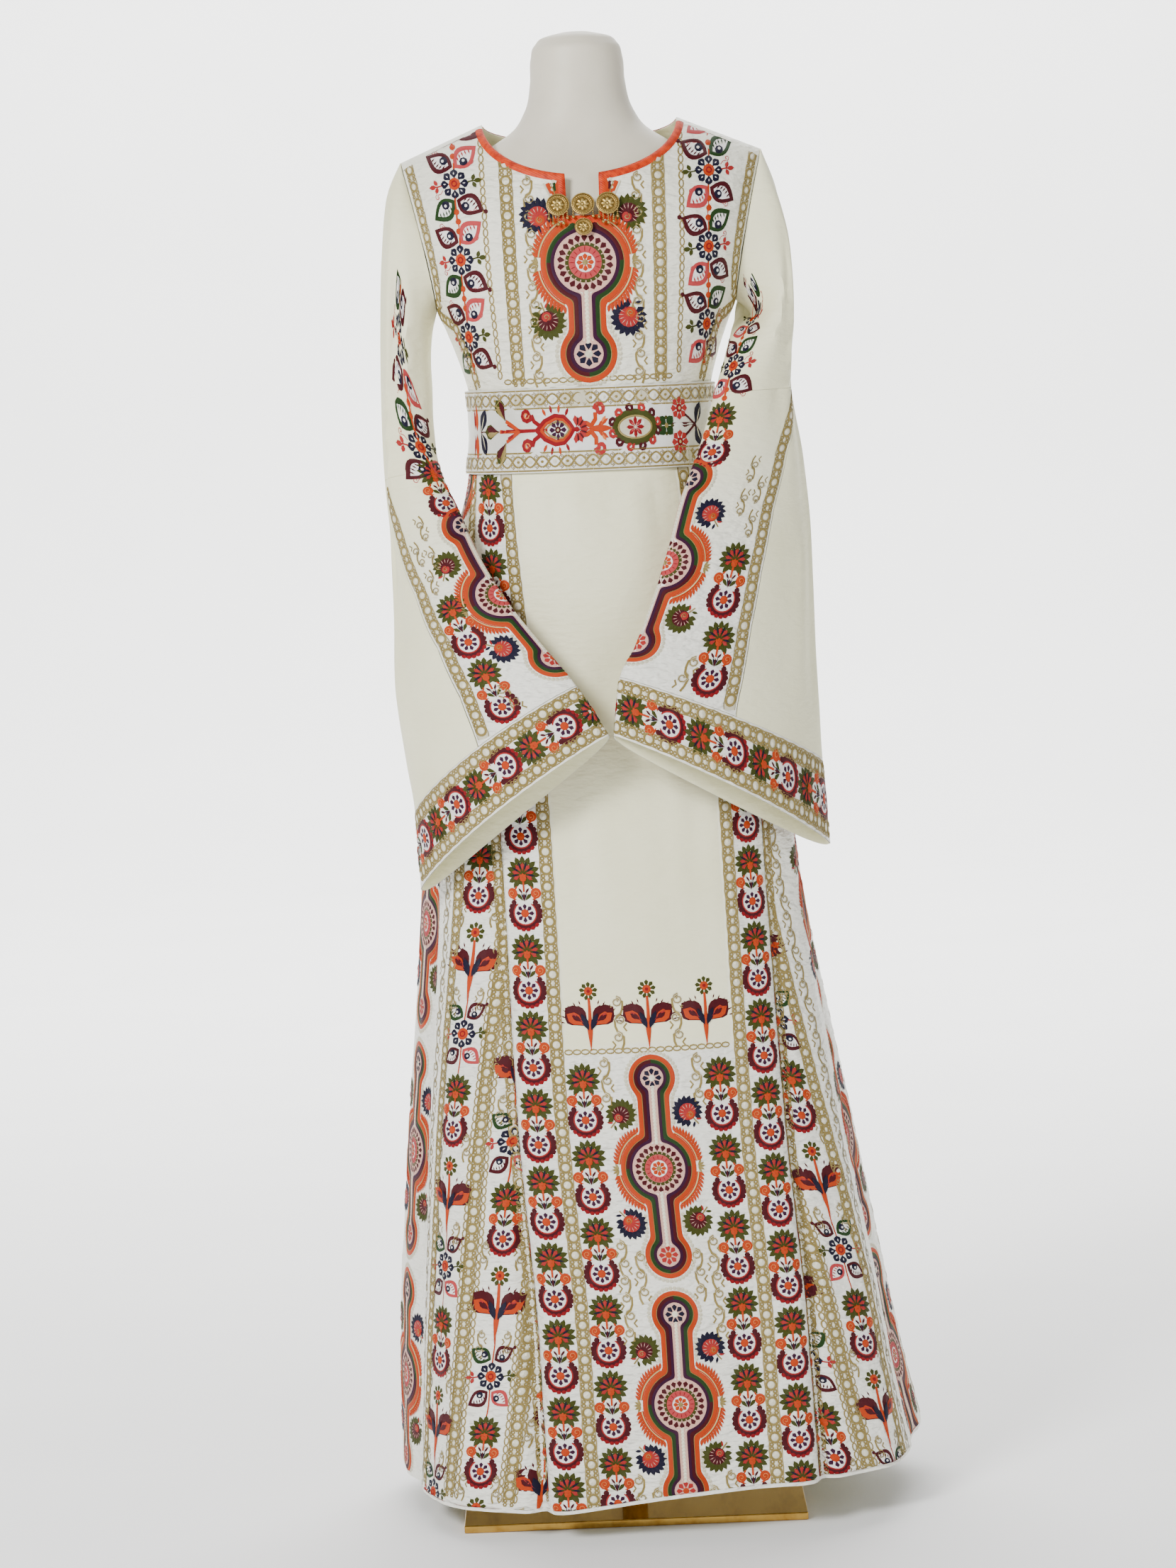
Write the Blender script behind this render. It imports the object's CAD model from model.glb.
"""Looks of the embroidered thobe, its belt, its coins and the dress form that wears it.

Every cloth piece is a thin shell on the form of its CAD solid, worked out again from the same
tables at a finer pitch, with its creases set in by hand. The embroidery is raised thread: small
shapes drawn in millimetres by functions, and laid on the cloth through one chart for each piece.
"""

import math

import bmesh
import bpy
import numpy as np
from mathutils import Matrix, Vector


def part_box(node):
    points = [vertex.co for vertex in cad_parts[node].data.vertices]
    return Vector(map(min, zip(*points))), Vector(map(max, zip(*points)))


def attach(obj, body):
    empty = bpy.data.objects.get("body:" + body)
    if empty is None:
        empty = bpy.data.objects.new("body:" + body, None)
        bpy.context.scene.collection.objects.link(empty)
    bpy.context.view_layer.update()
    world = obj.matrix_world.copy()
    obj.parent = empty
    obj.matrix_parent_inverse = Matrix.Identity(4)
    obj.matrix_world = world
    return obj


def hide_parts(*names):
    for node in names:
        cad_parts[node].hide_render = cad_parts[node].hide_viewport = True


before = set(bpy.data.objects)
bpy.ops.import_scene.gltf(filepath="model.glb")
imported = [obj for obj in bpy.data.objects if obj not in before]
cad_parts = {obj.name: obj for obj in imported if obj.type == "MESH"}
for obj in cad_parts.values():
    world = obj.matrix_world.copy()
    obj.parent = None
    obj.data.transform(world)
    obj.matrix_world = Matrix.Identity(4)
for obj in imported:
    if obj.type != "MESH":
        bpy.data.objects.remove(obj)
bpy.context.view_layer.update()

PLATE_LOW, PLATE_HIGH = (np.array(corner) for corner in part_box("base_plate"))
AXIS = np.array([*((PLATE_LOW + PLATE_HIGH) / 2)[:2], 0.0])  # foot of the stand's axis

# ---- cloth, as in the CAD ----
WALL = 0.0014
SEAM = 0.0003
ROUNDNESS = 2.3  # superellipse power of the body's sections
BODICE_ROWS = (  # z, half width, front depth, back depth
    (1.140, 0.1245, 0.0975, 0.0930),
    (1.180, 0.1265, 0.0990, 0.0945),
    (1.220, 0.1370, 0.1045, 0.0985),
    (1.271, 0.1560, 0.1130, 0.1030),
    (1.310, 0.1700, 0.1150, 0.1040),
    (1.350, 0.1800, 0.1090, 0.1010),
    (1.390, 0.1880, 0.0950, 0.0930),
    (1.430, 0.1960, 0.0790, 0.0800),
    (1.465, 0.2000, 0.0680, 0.0680),
)
WAIST_Z = 1.140
NECK_X, NECK_Z = 0.102, 1.464
SHOULDER_SLOPE, SHOULDER_ROUND = 0.42, 0.100
FRONT_NECK_DROP, BACK_NECK_DROP = 0.0595, 0.018
SLIT_HALF, SLIT_WAIST_HALF, BINDING_WAIST_HALF = 0.018, 0.014, 0.022
SLIT_SHARE = 0.838  # the slit ends at this share of the way up
UNDERARM_X, UNDERARM_Z = 0.156, 1.271
ARMHOLE_TOP_Z, ARMHOLE_LEAN = 1.428, 0.032
NECK_SHARES = (0.0, 0.10, 0.34, 0.60, 0.83, 1.0)
SHOULDER_SHARES = (0.33, 0.66, 1.0)
ARMHOLE_SHARES = (0.25, 0.55, 0.80, 0.94, 1.0)
SLEEVE_START = 0.0012  # the sleeve's cloth starts this far outside the bodice's edge

SKIRT_ROWS = (  # z, half width, front depth, back depth, x of the section, x of the front line
    (0.030, 0.2810, 0.2160, 0.2330, 0.0365, 0.0470),
    (0.140, 0.2665, 0.2080, 0.2180, 0.0265, 0.0430),
    (0.240, 0.2550, 0.2000, 0.2060, 0.0205, 0.0400),
    (0.320, 0.2440, 0.1930, 0.1960, 0.0170, 0.0350),
    (0.400, 0.2335, 0.1860, 0.1870, 0.0135, 0.0300),
    (0.490, 0.2210, 0.1780, 0.1780, 0.0100, 0.0270),
    (0.660, 0.1995, 0.1600, 0.1600, 0.0045, 0.0240),
    (0.800, 0.1900, 0.1490, 0.1500, 0.0020, 0.0200),
    (0.900, 0.1780, 0.1390, 0.1410, 0.0000, 0.0120),
    (1.000, 0.1580, 0.1250, 0.1260, 0.0000, 0.0050),
    (1.080, 0.1340, 0.1060, 0.1040, 0.0000, 0.0010),
    (1.140, 0.1245, 0.0975, 0.0930, 0.0000, 0.0000),
)
PANEL_HALF = 0.143
HEM_ROWS = (  # turn from the front line, height of the hem
    (-0.50, 0.042),
    (-0.36, 0.040),
    (-0.25, 0.034),
    (-0.07, 0.033),
    (0.00, 0.046),
    (0.12, 0.051),
    (0.25, 0.058),
    (0.38, 0.047),
    (0.50, 0.042),
)
PANEL_FOLDS = (  # distance from the front line, half width, depth (out is +), z where it starts
    (-0.151, 0.010, -0.0130, 1.00),
    (-0.126, 0.021, 0.0070, 0.92),
    (0.151, 0.010, -0.0120, 1.00),
    (0.127, 0.022, 0.0060, 0.92),
    (-0.050, 0.032, -0.0030, 0.66),
    (0.064, 0.036, -0.0035, 0.60),
)
GORE_FOLDS = (  # side, share of the gore from the front, half width at the hem, depth at the hem
    (-1, 0.20, 0.036, 0.0080),
    (-1, 0.40, 0.030, -0.0110),
    (-1, 0.62, 0.040, 0.0090),
    (-1, 0.83, 0.034, -0.0120),
    (1, 0.17, 0.032, 0.0090),
    (1, 0.36, 0.034, -0.0100),
    (1, 0.57, 0.038, 0.0080),
    (1, 0.80, 0.036, -0.0120),
)
BACK_FOLDS = (  # distance from the back line, half width, depth, z where it starts
    (-0.098, 0.026, 0.0070, 0.96),
    (-0.044, 0.022, -0.0100, 1.02),
    (0.012, 0.028, 0.0080, 0.90),
    (0.066, 0.022, -0.0090, 1.02),
    (0.118, 0.024, 0.0060, 0.94),
)

# Each row is one ring of a sleeve, from armhole to cuff: its outer edge, its inner edge,
# half the gap between its layers, how far both bow out, how much lower the back layer hangs.
LEFT_SLEEVE = (  # outer x, y, z, inner x, y, z, half gap, bow, back drop
    (-0.1880, 0.000, 1.428, -0.1575, 0.000, 1.2710, 0.050, 0.000, 0.0),
    (-0.2040, -0.002, 1.394, -0.1630, -0.004, 1.2500, 0.047, 0.000, 0.0),
    (-0.2120, -0.006, 1.330, -0.1660, -0.010, 1.2220, 0.042, 0.000, 0.0),
    (-0.2160, -0.013, 1.255, -0.1660, -0.021, 1.1900, 0.036, 0.000, 0.0),
    (-0.2170, -0.022, 1.175, -0.1665, -0.038, 1.1500, 0.030, 0.002, 0.0),
    (-0.2150, -0.031, 1.098, -0.1620, -0.062, 1.1080, 0.024, 0.004, 0.0),
    (-0.2095, -0.040, 1.022, -0.1420, -0.096, 1.0620, 0.021, 0.008, 0.0),
    (-0.2095, -0.048, 0.950, -0.1200, -0.128, 1.0130, 0.019, 0.013, 0.0),
    (-0.2130, -0.062, 0.874, -0.0900, -0.160, 0.9660, 0.018, 0.022, 0.0),
    (-0.2060, -0.074, 0.806, -0.0590, -0.183, 0.9260, 0.018, 0.028, 0.0),
    (-0.1990, -0.084, 0.752, -0.0270, -0.199, 0.8860, 0.018, 0.031, 0.004),
    (-0.1965, -0.094, 0.672, 0.0040, -0.210, 0.8350, 0.019, 0.034, 0.012),
)
RIGHT_SLEEVE = (  # outer x, y, z, inner x, y, z, half gap, bow, back drop
    (0.1880, 0.000, 1.428, 0.1575, 0.000, 1.2710, 0.050, 0.000, 0.0),
    (0.1990, -0.003, 1.392, 0.1725, -0.010, 1.2560, 0.045, 0.000, 0.0),
    (0.2030, -0.009, 1.325, 0.1680, -0.034, 1.2430, 0.037, 0.000, 0.0),
    (0.2050, -0.016, 1.252, 0.1540, -0.062, 1.2210, 0.033, 0.001, 0.0),
    (0.2060, -0.024, 1.178, 0.1330, -0.088, 1.1760, 0.027, 0.003, 0.0),
    (0.2170, -0.032, 1.110, 0.1110, -0.114, 1.1180, 0.023, 0.006, 0.0),
    (0.2230, -0.040, 1.046, 0.0890, -0.136, 1.0680, 0.020, 0.010, 0.0),
    (0.2240, -0.048, 0.975, 0.0700, -0.155, 1.0080, 0.018, 0.015, 0.0),
    (0.2240, -0.055, 0.905, 0.0520, -0.172, 0.9620, 0.018, 0.019, 0.0),
    (0.2250, -0.066, 0.845, 0.0345, -0.188, 0.9220, 0.018, 0.024, 0.0),
    (0.2260, -0.074, 0.790, 0.0180, -0.200, 0.8930, 0.018, 0.028, 0.004),
    (0.2305, -0.084, 0.702, 0.0095, -0.211, 0.8350, 0.019, 0.031, 0.012),
)
CUFF_ROW, LAST_ROW = 10, 11
SEAM_ROW = 0.004
INSERT_TOP = {"left": 5, "right": 4}
INSERT_EDGE = {  # share of the front layer, from the outer edge, where the insert starts, by row
    "left": (0.60, 0.55, 0.46, 0.34, 0.20, 0.06, 0.26, 0.46, 0.57, 0.59, 0.56, 0.56),
    "right": (0.60, 0.50, 0.34, 0.20, 0.05, 0.30, 0.41, 0.48, 0.52, 0.54, 0.55, 0.55),
}
BELT_BOTTOM, BELT_TOP = 1.101, 1.187
BELT_CLEAR, BELT_WALL = 0.0018, 0.0022
FORM_ROWS = (  # z, half width, front depth, back depth
    (0.800, 0.1180, 0.0900, 0.0880),
    (0.806, 0.1340, 0.1030, 0.1000),
    (0.822, 0.1440, 0.1110, 0.1080),
    (0.860, 0.1500, 0.1160, 0.1140),
    (0.920, 0.1520, 0.1170, 0.1160),
    (1.000, 0.1400, 0.1060, 0.1070),
    (1.080, 0.1220, 0.0920, 0.0910),
    (1.140, 0.1170, 0.0890, 0.0850),
    (1.200, 0.1230, 0.0940, 0.0890),
    (1.260, 0.1420, 0.1030, 0.0940),
    (1.310, 0.1540, 0.1080, 0.0960),
    (1.350, 0.1580, 0.1010, 0.0930),
    (1.380, 0.1560, 0.0890, 0.0850),
    (1.405, 0.1450, 0.0750, 0.0740),
    (1.425, 0.1210, 0.0650, 0.0650),
    (1.440, 0.0940, 0.0590, 0.0590),
    (1.455, 0.0710, 0.0550, 0.0550),
    (1.475, 0.0570, 0.0520, 0.0520),
    (1.505, 0.0497, 0.0497, 0.0497),
    (1.530, 0.0480, 0.0480, 0.0480),
    (1.544, 0.0430, 0.0430, 0.0430),
    (1.552, 0.0320, 0.0320, 0.0320),
    (1.556, 0.0140, 0.0140, 0.0140),
)


# ---------------------------------------------------------------- helpers
def table(rows):
    """The rows of a table as one array for each column."""
    return np.array(rows, float).T


def smooth(x, xs, ys):
    """A smooth curve through (xs, ys), read at x. xs rises."""
    x = np.clip(x, xs[0], xs[-1])
    slopes = np.gradient(ys, xs)
    i = np.clip(np.searchsorted(xs, x) - 1, 0, len(xs) - 2)
    gap = xs[i + 1] - xs[i]
    t = (x - xs[i]) / gap
    start = (1 + 2 * t) * (1 - t) ** 2 * ys[i] + t * (1 - t) ** 2 * gap * slopes[i]
    return start + t**2 * (3 - 2 * t) * ys[i + 1] + t**2 * (t - 1) * gap * slopes[i + 1]


def ramp(value):
    """0 below 0, 1 above 1 and smooth between."""
    value = np.clip(value, 0.0, 1.0)
    return value * value * (3 - 2 * value)


def bump(distance, half_width):
    return np.exp(-((distance / half_width) ** 2))


def signed_power(value, power):
    return np.sign(value) * np.abs(value) ** power


def unit(vectors):
    return vectors / np.maximum(np.linalg.norm(vectors, axis=-1, keepdims=True), 1e-12)


def read_grid(grid, row, column):
    """A grid read between its points by row and column numbers."""
    row = np.clip(row, 0, grid.shape[0] - 1.001)
    column = np.clip(column, 0, grid.shape[1] - 1.001)
    r, c = row.astype(int), column.astype(int)
    u, v = row - r, column - c
    if grid.ndim == 3:
        u, v = u[..., None], v[..., None]
    near = grid[r, c] * (1 - v) + grid[r, c + 1] * v
    far = grid[r + 1, c] * (1 - v) + grid[r + 1, c + 1] * v
    return near * (1 - u) + far * u


def with_normals(surface, a, b, step_a, step_b, sign=1.0):
    """Points of surface(a, b) and its unit normals."""
    run = surface(a + step_a, b) - surface(a - step_a, b)
    rise = surface(a, b + step_b) - surface(a, b - step_b)
    return surface(a, b), unit(np.cross(run, rise)) * sign


# ---------------------------------------------------------------- skirt
SKIRT = table(SKIRT_ROWS)
HEM = table(HEM_ROWS)
SKIRT_TABLE_LOW, SKIRT_TABLE_STEP = 0.015, 0.005
SECTION_POINTS = 960
FOLD_FULL_Z = 0.15  # the panels' folds have all their depth from here down
TUCK_HEAD_Z, TUCK_TOP_Z = 1.095, 1.090  # where the tucks begin, just under the belt
RIPPLE, RIPPLE_TOP_Z = 0.0005, 0.62  # depth of the lower skirt's puckers, how high they reach


class Skirt:
    """The outer side of the skirt, by distance from the front line and by height."""

    def __init__(self):
        heights = np.arange(SKIRT_TABLE_LOW, WAIST_Z + 2 * SKIRT_TABLE_STEP, SKIRT_TABLE_STEP)
        grid, around = [], []
        for z in heights:
            x, y, along = self.section(z)
            share = np.linspace(0, along[-1], SECTION_POINTS + 1)
            grid.append(np.stack([np.interp(share, along, x), np.interp(share, along, y)], 1))
            around.append(along[-1])
        self.grid = np.array(grid)
        runs = np.roll(self.grid[:, :-1], -1, axis=1) - np.roll(self.grid[:, :-1], 1, axis=1)
        runs = unit(np.concatenate([runs, runs[:, :1]], axis=1))
        self.outs = np.stack([runs[..., 1], -runs[..., 0]], 2)
        self.heights, self.lengths = heights, np.array(around)
        self.gore_at_hem = self.gore(SKIRT[0][0])

    @staticmethod
    def section(z):
        _, width, front, back, middle, front_line = (smooth(z, SKIRT[0], c) for c in SKIRT)
        turns = np.linspace(0, 2 * math.pi, SECTION_POINTS + 1)
        turns = turns + math.asin((front_line - middle) / width)
        depth = np.where(np.cos(turns) > 0, front, back)
        x = middle + width * signed_power(np.sin(turns), 2 / ROUNDNESS)
        y = -depth * signed_power(np.cos(turns), 2 / ROUNDNESS)
        return x, y, np.concatenate([[0], np.cumsum(np.hypot(np.diff(x), np.diff(y)))])

    def around(self, z):
        return np.interp(z, self.heights, self.lengths)

    def gore(self, z):
        """Width of a side gore at z."""
        return self.around(z) / 2 - 2 * PANEL_HALF

    def hem(self, s, z):
        turn = (s / self.around(z) + 0.5) % 1.0 - 0.5
        return smooth(turn, HEM[0], HEM[1])

    def fold(self, s, z):
        """How far the folds move the cloth out."""
        half = self.around(z) / 2
        gore = np.maximum(half - 2 * PANEL_HALF, 0.001)
        s = (s + half) % (2 * half) - half
        back = np.where(s > 0, s - half, s + half)
        moved = 0.0
        for place, width, depth, start in PANEL_FOLDS:
            grown = ramp((start - z) / (start - FOLD_FULL_Z))
            moved = moved + depth * grown * bump(s - place, width)
        wide = gore / self.gore_at_hem
        for side, share, width, depth in GORE_FOLDS:
            place = side * (PANEL_HALF + share * gore)
            reach = np.maximum(width * wide, 0.004)
            moved = moved + depth * ramp(wide) * bump(s - place, reach)
        for place, width, depth, start in BACK_FOLDS:
            grown = ramp((start - z) / (start - FOLD_FULL_Z))
            moved = moved + depth * grown * bump(back - place, width)
        return moved + self.creases(s, back, z)

    @staticmethod
    def creases(s, back, z):
        """Small tucks under the belt, soft pulls in the plain panel and puckers at the hem."""
        moved = 0.0
        for place, width, depth, reach in TUCKS:
            grown = ramp((TUCK_HEAD_Z - z) / 0.02) * ramp((z - TUCK_TOP_Z + reach) / reach)
            moved = moved + depth * grown * bump(s - place, width)
            moved = moved + depth * grown * bump(back + place * 0.9 - 0.01, width)
        for place, slant, width, depth, low, high in PULLS:
            line = place + slant * (high - z)
            grown = ramp((high - z) / 0.12) * ramp((z - low) / 0.12)
            moved = moved + depth * grown * bump(s - line, width)
        low_part = ramp((RIPPLE_TOP_Z - z) / 0.3)
        ripple = np.sin(s * 151 + 1.7 * np.sin(z * 31)) * np.sin(z * 97 + 2.1 * np.sin(s * 43))
        return moved + RIPPLE * low_part * ripple

    def point(self, s, z):
        s, z = np.broadcast_arrays(s, z)
        share = (s / self.around(z)) % 1.0
        row = (z - SKIRT_TABLE_LOW) / SKIRT_TABLE_STEP
        column = share * SECTION_POINTS
        flat = read_grid(self.grid, row, column)
        flat = flat + unit(read_grid(self.outs, row, column)) * self.fold(s, z)[..., None]
        return np.concatenate([flat, z[..., None]], axis=-1) + AXIS

    def surface(self, s, z):
        return with_normals(self.point, s, z, 0.0008, 0.0008)


TUCKS = (  # distance from the centre line, half width, depth, how far down it runs
    (-0.098, 0.007, -0.0030, 0.15),
    (-0.083, 0.008, 0.0020, 0.12),
    (-0.046, 0.006, -0.0016, 0.09),
    (-0.021, 0.008, 0.0012, 0.11),
    (0.012, 0.007, -0.0014, 0.08),
    (0.038, 0.008, 0.0016, 0.12),
    (0.061, 0.006, -0.0022, 0.10),
    (0.087, 0.008, 0.0020, 0.14),
    (0.105, 0.007, -0.0030, 0.16),
)
PULLS = (  # distance from the front line, slant, half width, depth, z of its foot and its top
    (-0.078, 0.05, 0.014, -0.0024, 0.60, 1.04),
    (-0.030, -0.04, 0.020, 0.0018, 0.58, 0.98),
    (0.020, 0.03, 0.016, -0.0016, 0.55, 0.92),
    (0.074, -0.04, 0.014, -0.0026, 0.58, 1.05),
)


# ---------------------------------------------------------------- bodice
BODICE = table(BODICE_ROWS)
BODICE_TABLE_LOW, BODICE_TABLE_STEP = 1.135, 0.005
HALF_SECTION_POINTS = 240
LINES = len(NECK_SHARES) + len(SHOULDER_SHARES) + len(ARMHOLE_SHARES) + 1
BODICE_CREASES = (  # x, z of its foot, x, z of its head, half width, depth
    (0.112, 1.205, 0.160, 1.262, 0.006, -0.0030),
    (-0.116, 1.200, -0.158, 1.255, 0.006, -0.0034),
    (0.098, 1.240, 0.150, 1.292, 0.008, 0.0022),
    (-0.104, 1.235, -0.152, 1.290, 0.008, 0.0022),
    (0.100, 1.190, 0.104, 1.240, 0.007, -0.0018),
    (-0.104, 1.190, -0.110, 1.236, 0.007, -0.0020),
    (-0.040, 1.190, -0.030, 1.235, 0.009, -0.0012),
    (0.052, 1.190, 0.046, 1.228, 0.009, -0.0012),
    (0.120, 1.395, 0.150, 1.330, 0.010, -0.0018),
    (-0.124, 1.392, -0.154, 1.330, 0.010, -0.0018),
)


def shoulder_height(x):
    return NECK_Z - (np.abs(x) - NECK_X) * SHOULDER_SLOPE


class Bodice:
    """The outer side of the bodice's front (face -1) or back (face 1), by angle and height."""

    def __init__(self, face):
        self.face = face
        heights = np.arange(BODICE_TABLE_LOW, BODICE[0][-1] + 0.01, BODICE_TABLE_STEP)
        turns = np.linspace(0, math.pi / 2, HALF_SECTION_POINTS + 1)
        grid, halves = [], []
        for z in heights:
            width, depth = self.size(z)
            x = width * np.sin(turns) ** (2 / ROUNDNESS)
            y = depth * np.cos(turns) ** (2 / ROUNDNESS)
            along = np.concatenate([[0], np.cumsum(np.hypot(np.diff(x), np.diff(y)))])
            share = np.linspace(0, along[-1], HALF_SECTION_POINTS + 1)
            grid.append(np.interp(share, along, turns))
            halves.append(along[-1])
        self.grid, self.heights, self.halves = np.array(grid), heights, np.array(halves)

    def size(self, z):
        width = smooth(z, BODICE[0], BODICE[1])
        return width, smooth(z, BODICE[0], BODICE[2] if self.face < 0 else BODICE[3])

    def flat_point(self, angle, z):
        width, depth = self.size(z)
        x = width * signed_power(np.sin(angle), 2 / ROUNDNESS)
        over = np.clip((shoulder_height(x) - z) / SHOULDER_ROUND, 0.0, 1.0)
        rounding = np.sqrt(1 - (1 - over) ** 2)
        y = depth * np.abs(np.cos(angle)) ** (2 / ROUNDNESS) * rounding
        return x, self.face * np.maximum(y, SEAM / 2)

    def point(self, angle, z):
        angle, z = np.broadcast_arrays(angle, z)
        x, y = self.flat_point(angle, z)
        moved = self.crease(x, z)
        return np.stack([x, y + self.face * moved, z], axis=-1) + AXIS

    @staticmethod
    def crease(x, z):
        moved = 0.0
        for x0, z0, x1, z1, width, depth in BODICE_CREASES:
            length = math.hypot(x1 - x0, z1 - z0)
            run_x, run_z = (x1 - x0) / length, (z1 - z0) / length
            along = (x - x0) * run_x + (z - z0) * run_z
            aside = (x - x0) * run_z - (z - z0) * run_x
            grown = ramp(along / 0.02 + 0.5) * ramp((length - along) / 0.02 + 0.5)
            moved = moved + depth * grown * bump(aside, width)
        return moved

    def surface(self, angle, z):
        points, normals = with_normals(self.point, angle, z, 0.006, 0.0006, -self.face)
        on_seam = np.abs(points[..., 1] - AXIS[1]) < SEAM
        normals = np.where(on_seam[..., None], unit(normals * (1, 0, 1)), normals)
        return points, normals

    def angle_at(self, x, z):
        width = self.size(z)[0]
        share = np.minimum(np.abs(x) / width, 1.0) ** (ROUNDNESS / 2)
        return np.sign(x) * np.arcsin(share)

    def half_length(self, z):
        return np.interp(z, self.heights, self.halves)

    def by_distance(self, s, z):
        """Points and normals by distance round the section from the centre line."""
        s, z = np.broadcast_arrays(s, z)
        share = np.abs(s) / self.half_length(z)
        row = (z - BODICE_TABLE_LOW) / BODICE_TABLE_STEP
        angle = np.sign(s) * read_grid(self.grid, row, share * HALF_SECTION_POINTS)
        return self.surface(angle, z)


def armhole_x(z):
    share = np.maximum((z - UNDERARM_Z) / (ARMHOLE_TOP_Z - UNDERARM_Z), 0.0)
    return UNDERARM_X + ARMHOLE_LEAN * share**1.3


def neck_height(x, drop):
    return NECK_Z - drop * np.sqrt(np.maximum(1 - (x / NECK_X) ** 2, 0.0))


def bodice_top(line, drop):
    """x, z of the bodice's upper edge on a grid line, from 0 at the centre to the underarm."""
    numbers = np.arange(len(NECK_SHARES)) + 1
    first_shoulder = numbers[-1]
    first_armhole = first_shoulder + len(SHOULDER_SHARES)
    slit_turn = math.asin(SLIT_HALF / NECK_X)
    if line <= 1:
        x = SLIT_HALF * line
        return x, float(neck_height(x, drop))
    if line <= first_shoulder:
        share = np.interp(line, numbers, NECK_SHARES)
        x = NECK_X * math.sin(slit_turn + (math.pi / 2 - slit_turn) * share)
        return x, float(neck_height(x, drop))
    if line <= first_armhole:
        steps = np.arange(len(SHOULDER_SHARES) + 1) + first_shoulder
        share = np.interp(line, steps, (0.0, *SHOULDER_SHARES))
        x = NECK_X + (float(armhole_x(ARMHOLE_TOP_Z)) - NECK_X) * share
        return x, float(shoulder_height(x))
    steps = np.arange(len(ARMHOLE_SHARES) + 1) + first_armhole
    share = np.interp(line, steps, (0.0, *ARMHOLE_SHARES))
    z = ARMHOLE_TOP_Z + (UNDERARM_Z - ARMHOLE_TOP_Z) * share
    return float(armhole_x(z)), z


def bodice_bottoms(bodice):
    bottoms = [math.pi / 2 * i / (LINES - 1) for i in range(LINES)]
    bottoms[1] = float(bodice.angle_at(SLIT_WAIST_HALF, WAIST_Z))
    bottoms[2] = float(bodice.angle_at(BINDING_WAIST_HALF, WAIST_Z))
    return bottoms


def bodice_places(bodice, lines, shares):
    """Angles and heights of a grid on the bodice: rows from the waist up, columns by line."""
    drop = FRONT_NECK_DROP if bodice.face < 0 else BACK_NECK_DROP
    bottoms = bodice_bottoms(bodice)
    angles = np.zeros((len(shares), len(lines)))
    heights = np.zeros_like(angles)
    for c, line in enumerate(lines):
        top_x, top_z = bodice_top(abs(line), drop)
        bottom = np.interp(abs(line), np.arange(LINES), bottoms)
        top = float(bodice.angle_at(top_x, top_z))
        angles[:, c] = math.copysign(1, line) * (bottom + (top - bottom) * shares)
        heights[:, c] = WAIST_Z + SEAM / 2 + (top_z - WAIST_Z) * shares
    return angles, heights


# ---------------------------------------------------------------- sleeves
SLEEVES = {"left": table(LEFT_SLEEVE), "right": table(RIGHT_SLEEVE)}
RING_POINTS = 480
RING_REACH = 0.42  # longest distance round a ring, each way from the inner edge
ROW_STEP = 0.05
SLEEVE_CREASES = {  # row of its head, row of its foot, turn at the head, turn at the foot, depth
    "left": (
        (0.4, 7.5, 2.75, 2.30, -0.0034),
        (0.8, 6.0, 2.30, 1.90, 0.0030),
        (1.2, 5.2, 1.85, 1.60, -0.0028),
        (0.6, 4.0, 1.35, 1.25, 0.0024),
        (1.6, 4.6, 0.85, 0.80, -0.0030),
        (5.5, 9.8, 2.65, 2.40, 0.0030),
        (6.5, 9.9, 2.15, 2.05, -0.0026),
        (0.5, 7.0, -2.60, -2.20, -0.0034),
        (0.9, 6.0, -2.00, -1.70, 0.0030),
        (1.4, 5.0, -1.30, -1.20, -0.0026),
        (5.5, 9.8, -2.30, -1.90, 0.0028),
    ),
    "right": (
        (0.4, 7.0, 2.70, 2.45, -0.0034),
        (0.8, 6.2, 2.25, 2.05, 0.0028),
        (1.1, 5.0, 1.80, 1.70, -0.0030),
        (0.5, 3.8, 1.40, 1.20, 0.0022),
        (1.3, 4.2, 0.95, 0.80, -0.0026),
        (5.0, 9.8, 2.75, 2.50, -0.0026),
        (6.0, 9.9, 2.35, 2.20, 0.0028),
        (0.5, 7.0, -2.50, -2.20, -0.0034),
        (0.9, 6.0, -1.95, -1.70, 0.0030),
        (1.4, 5.0, -1.35, -1.10, -0.0028),
        (5.5, 9.8, -2.20, -1.90, 0.0028),
    ),
}
SLEEVE_CREASE_TURN = 0.16  # half width of those creases


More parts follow.
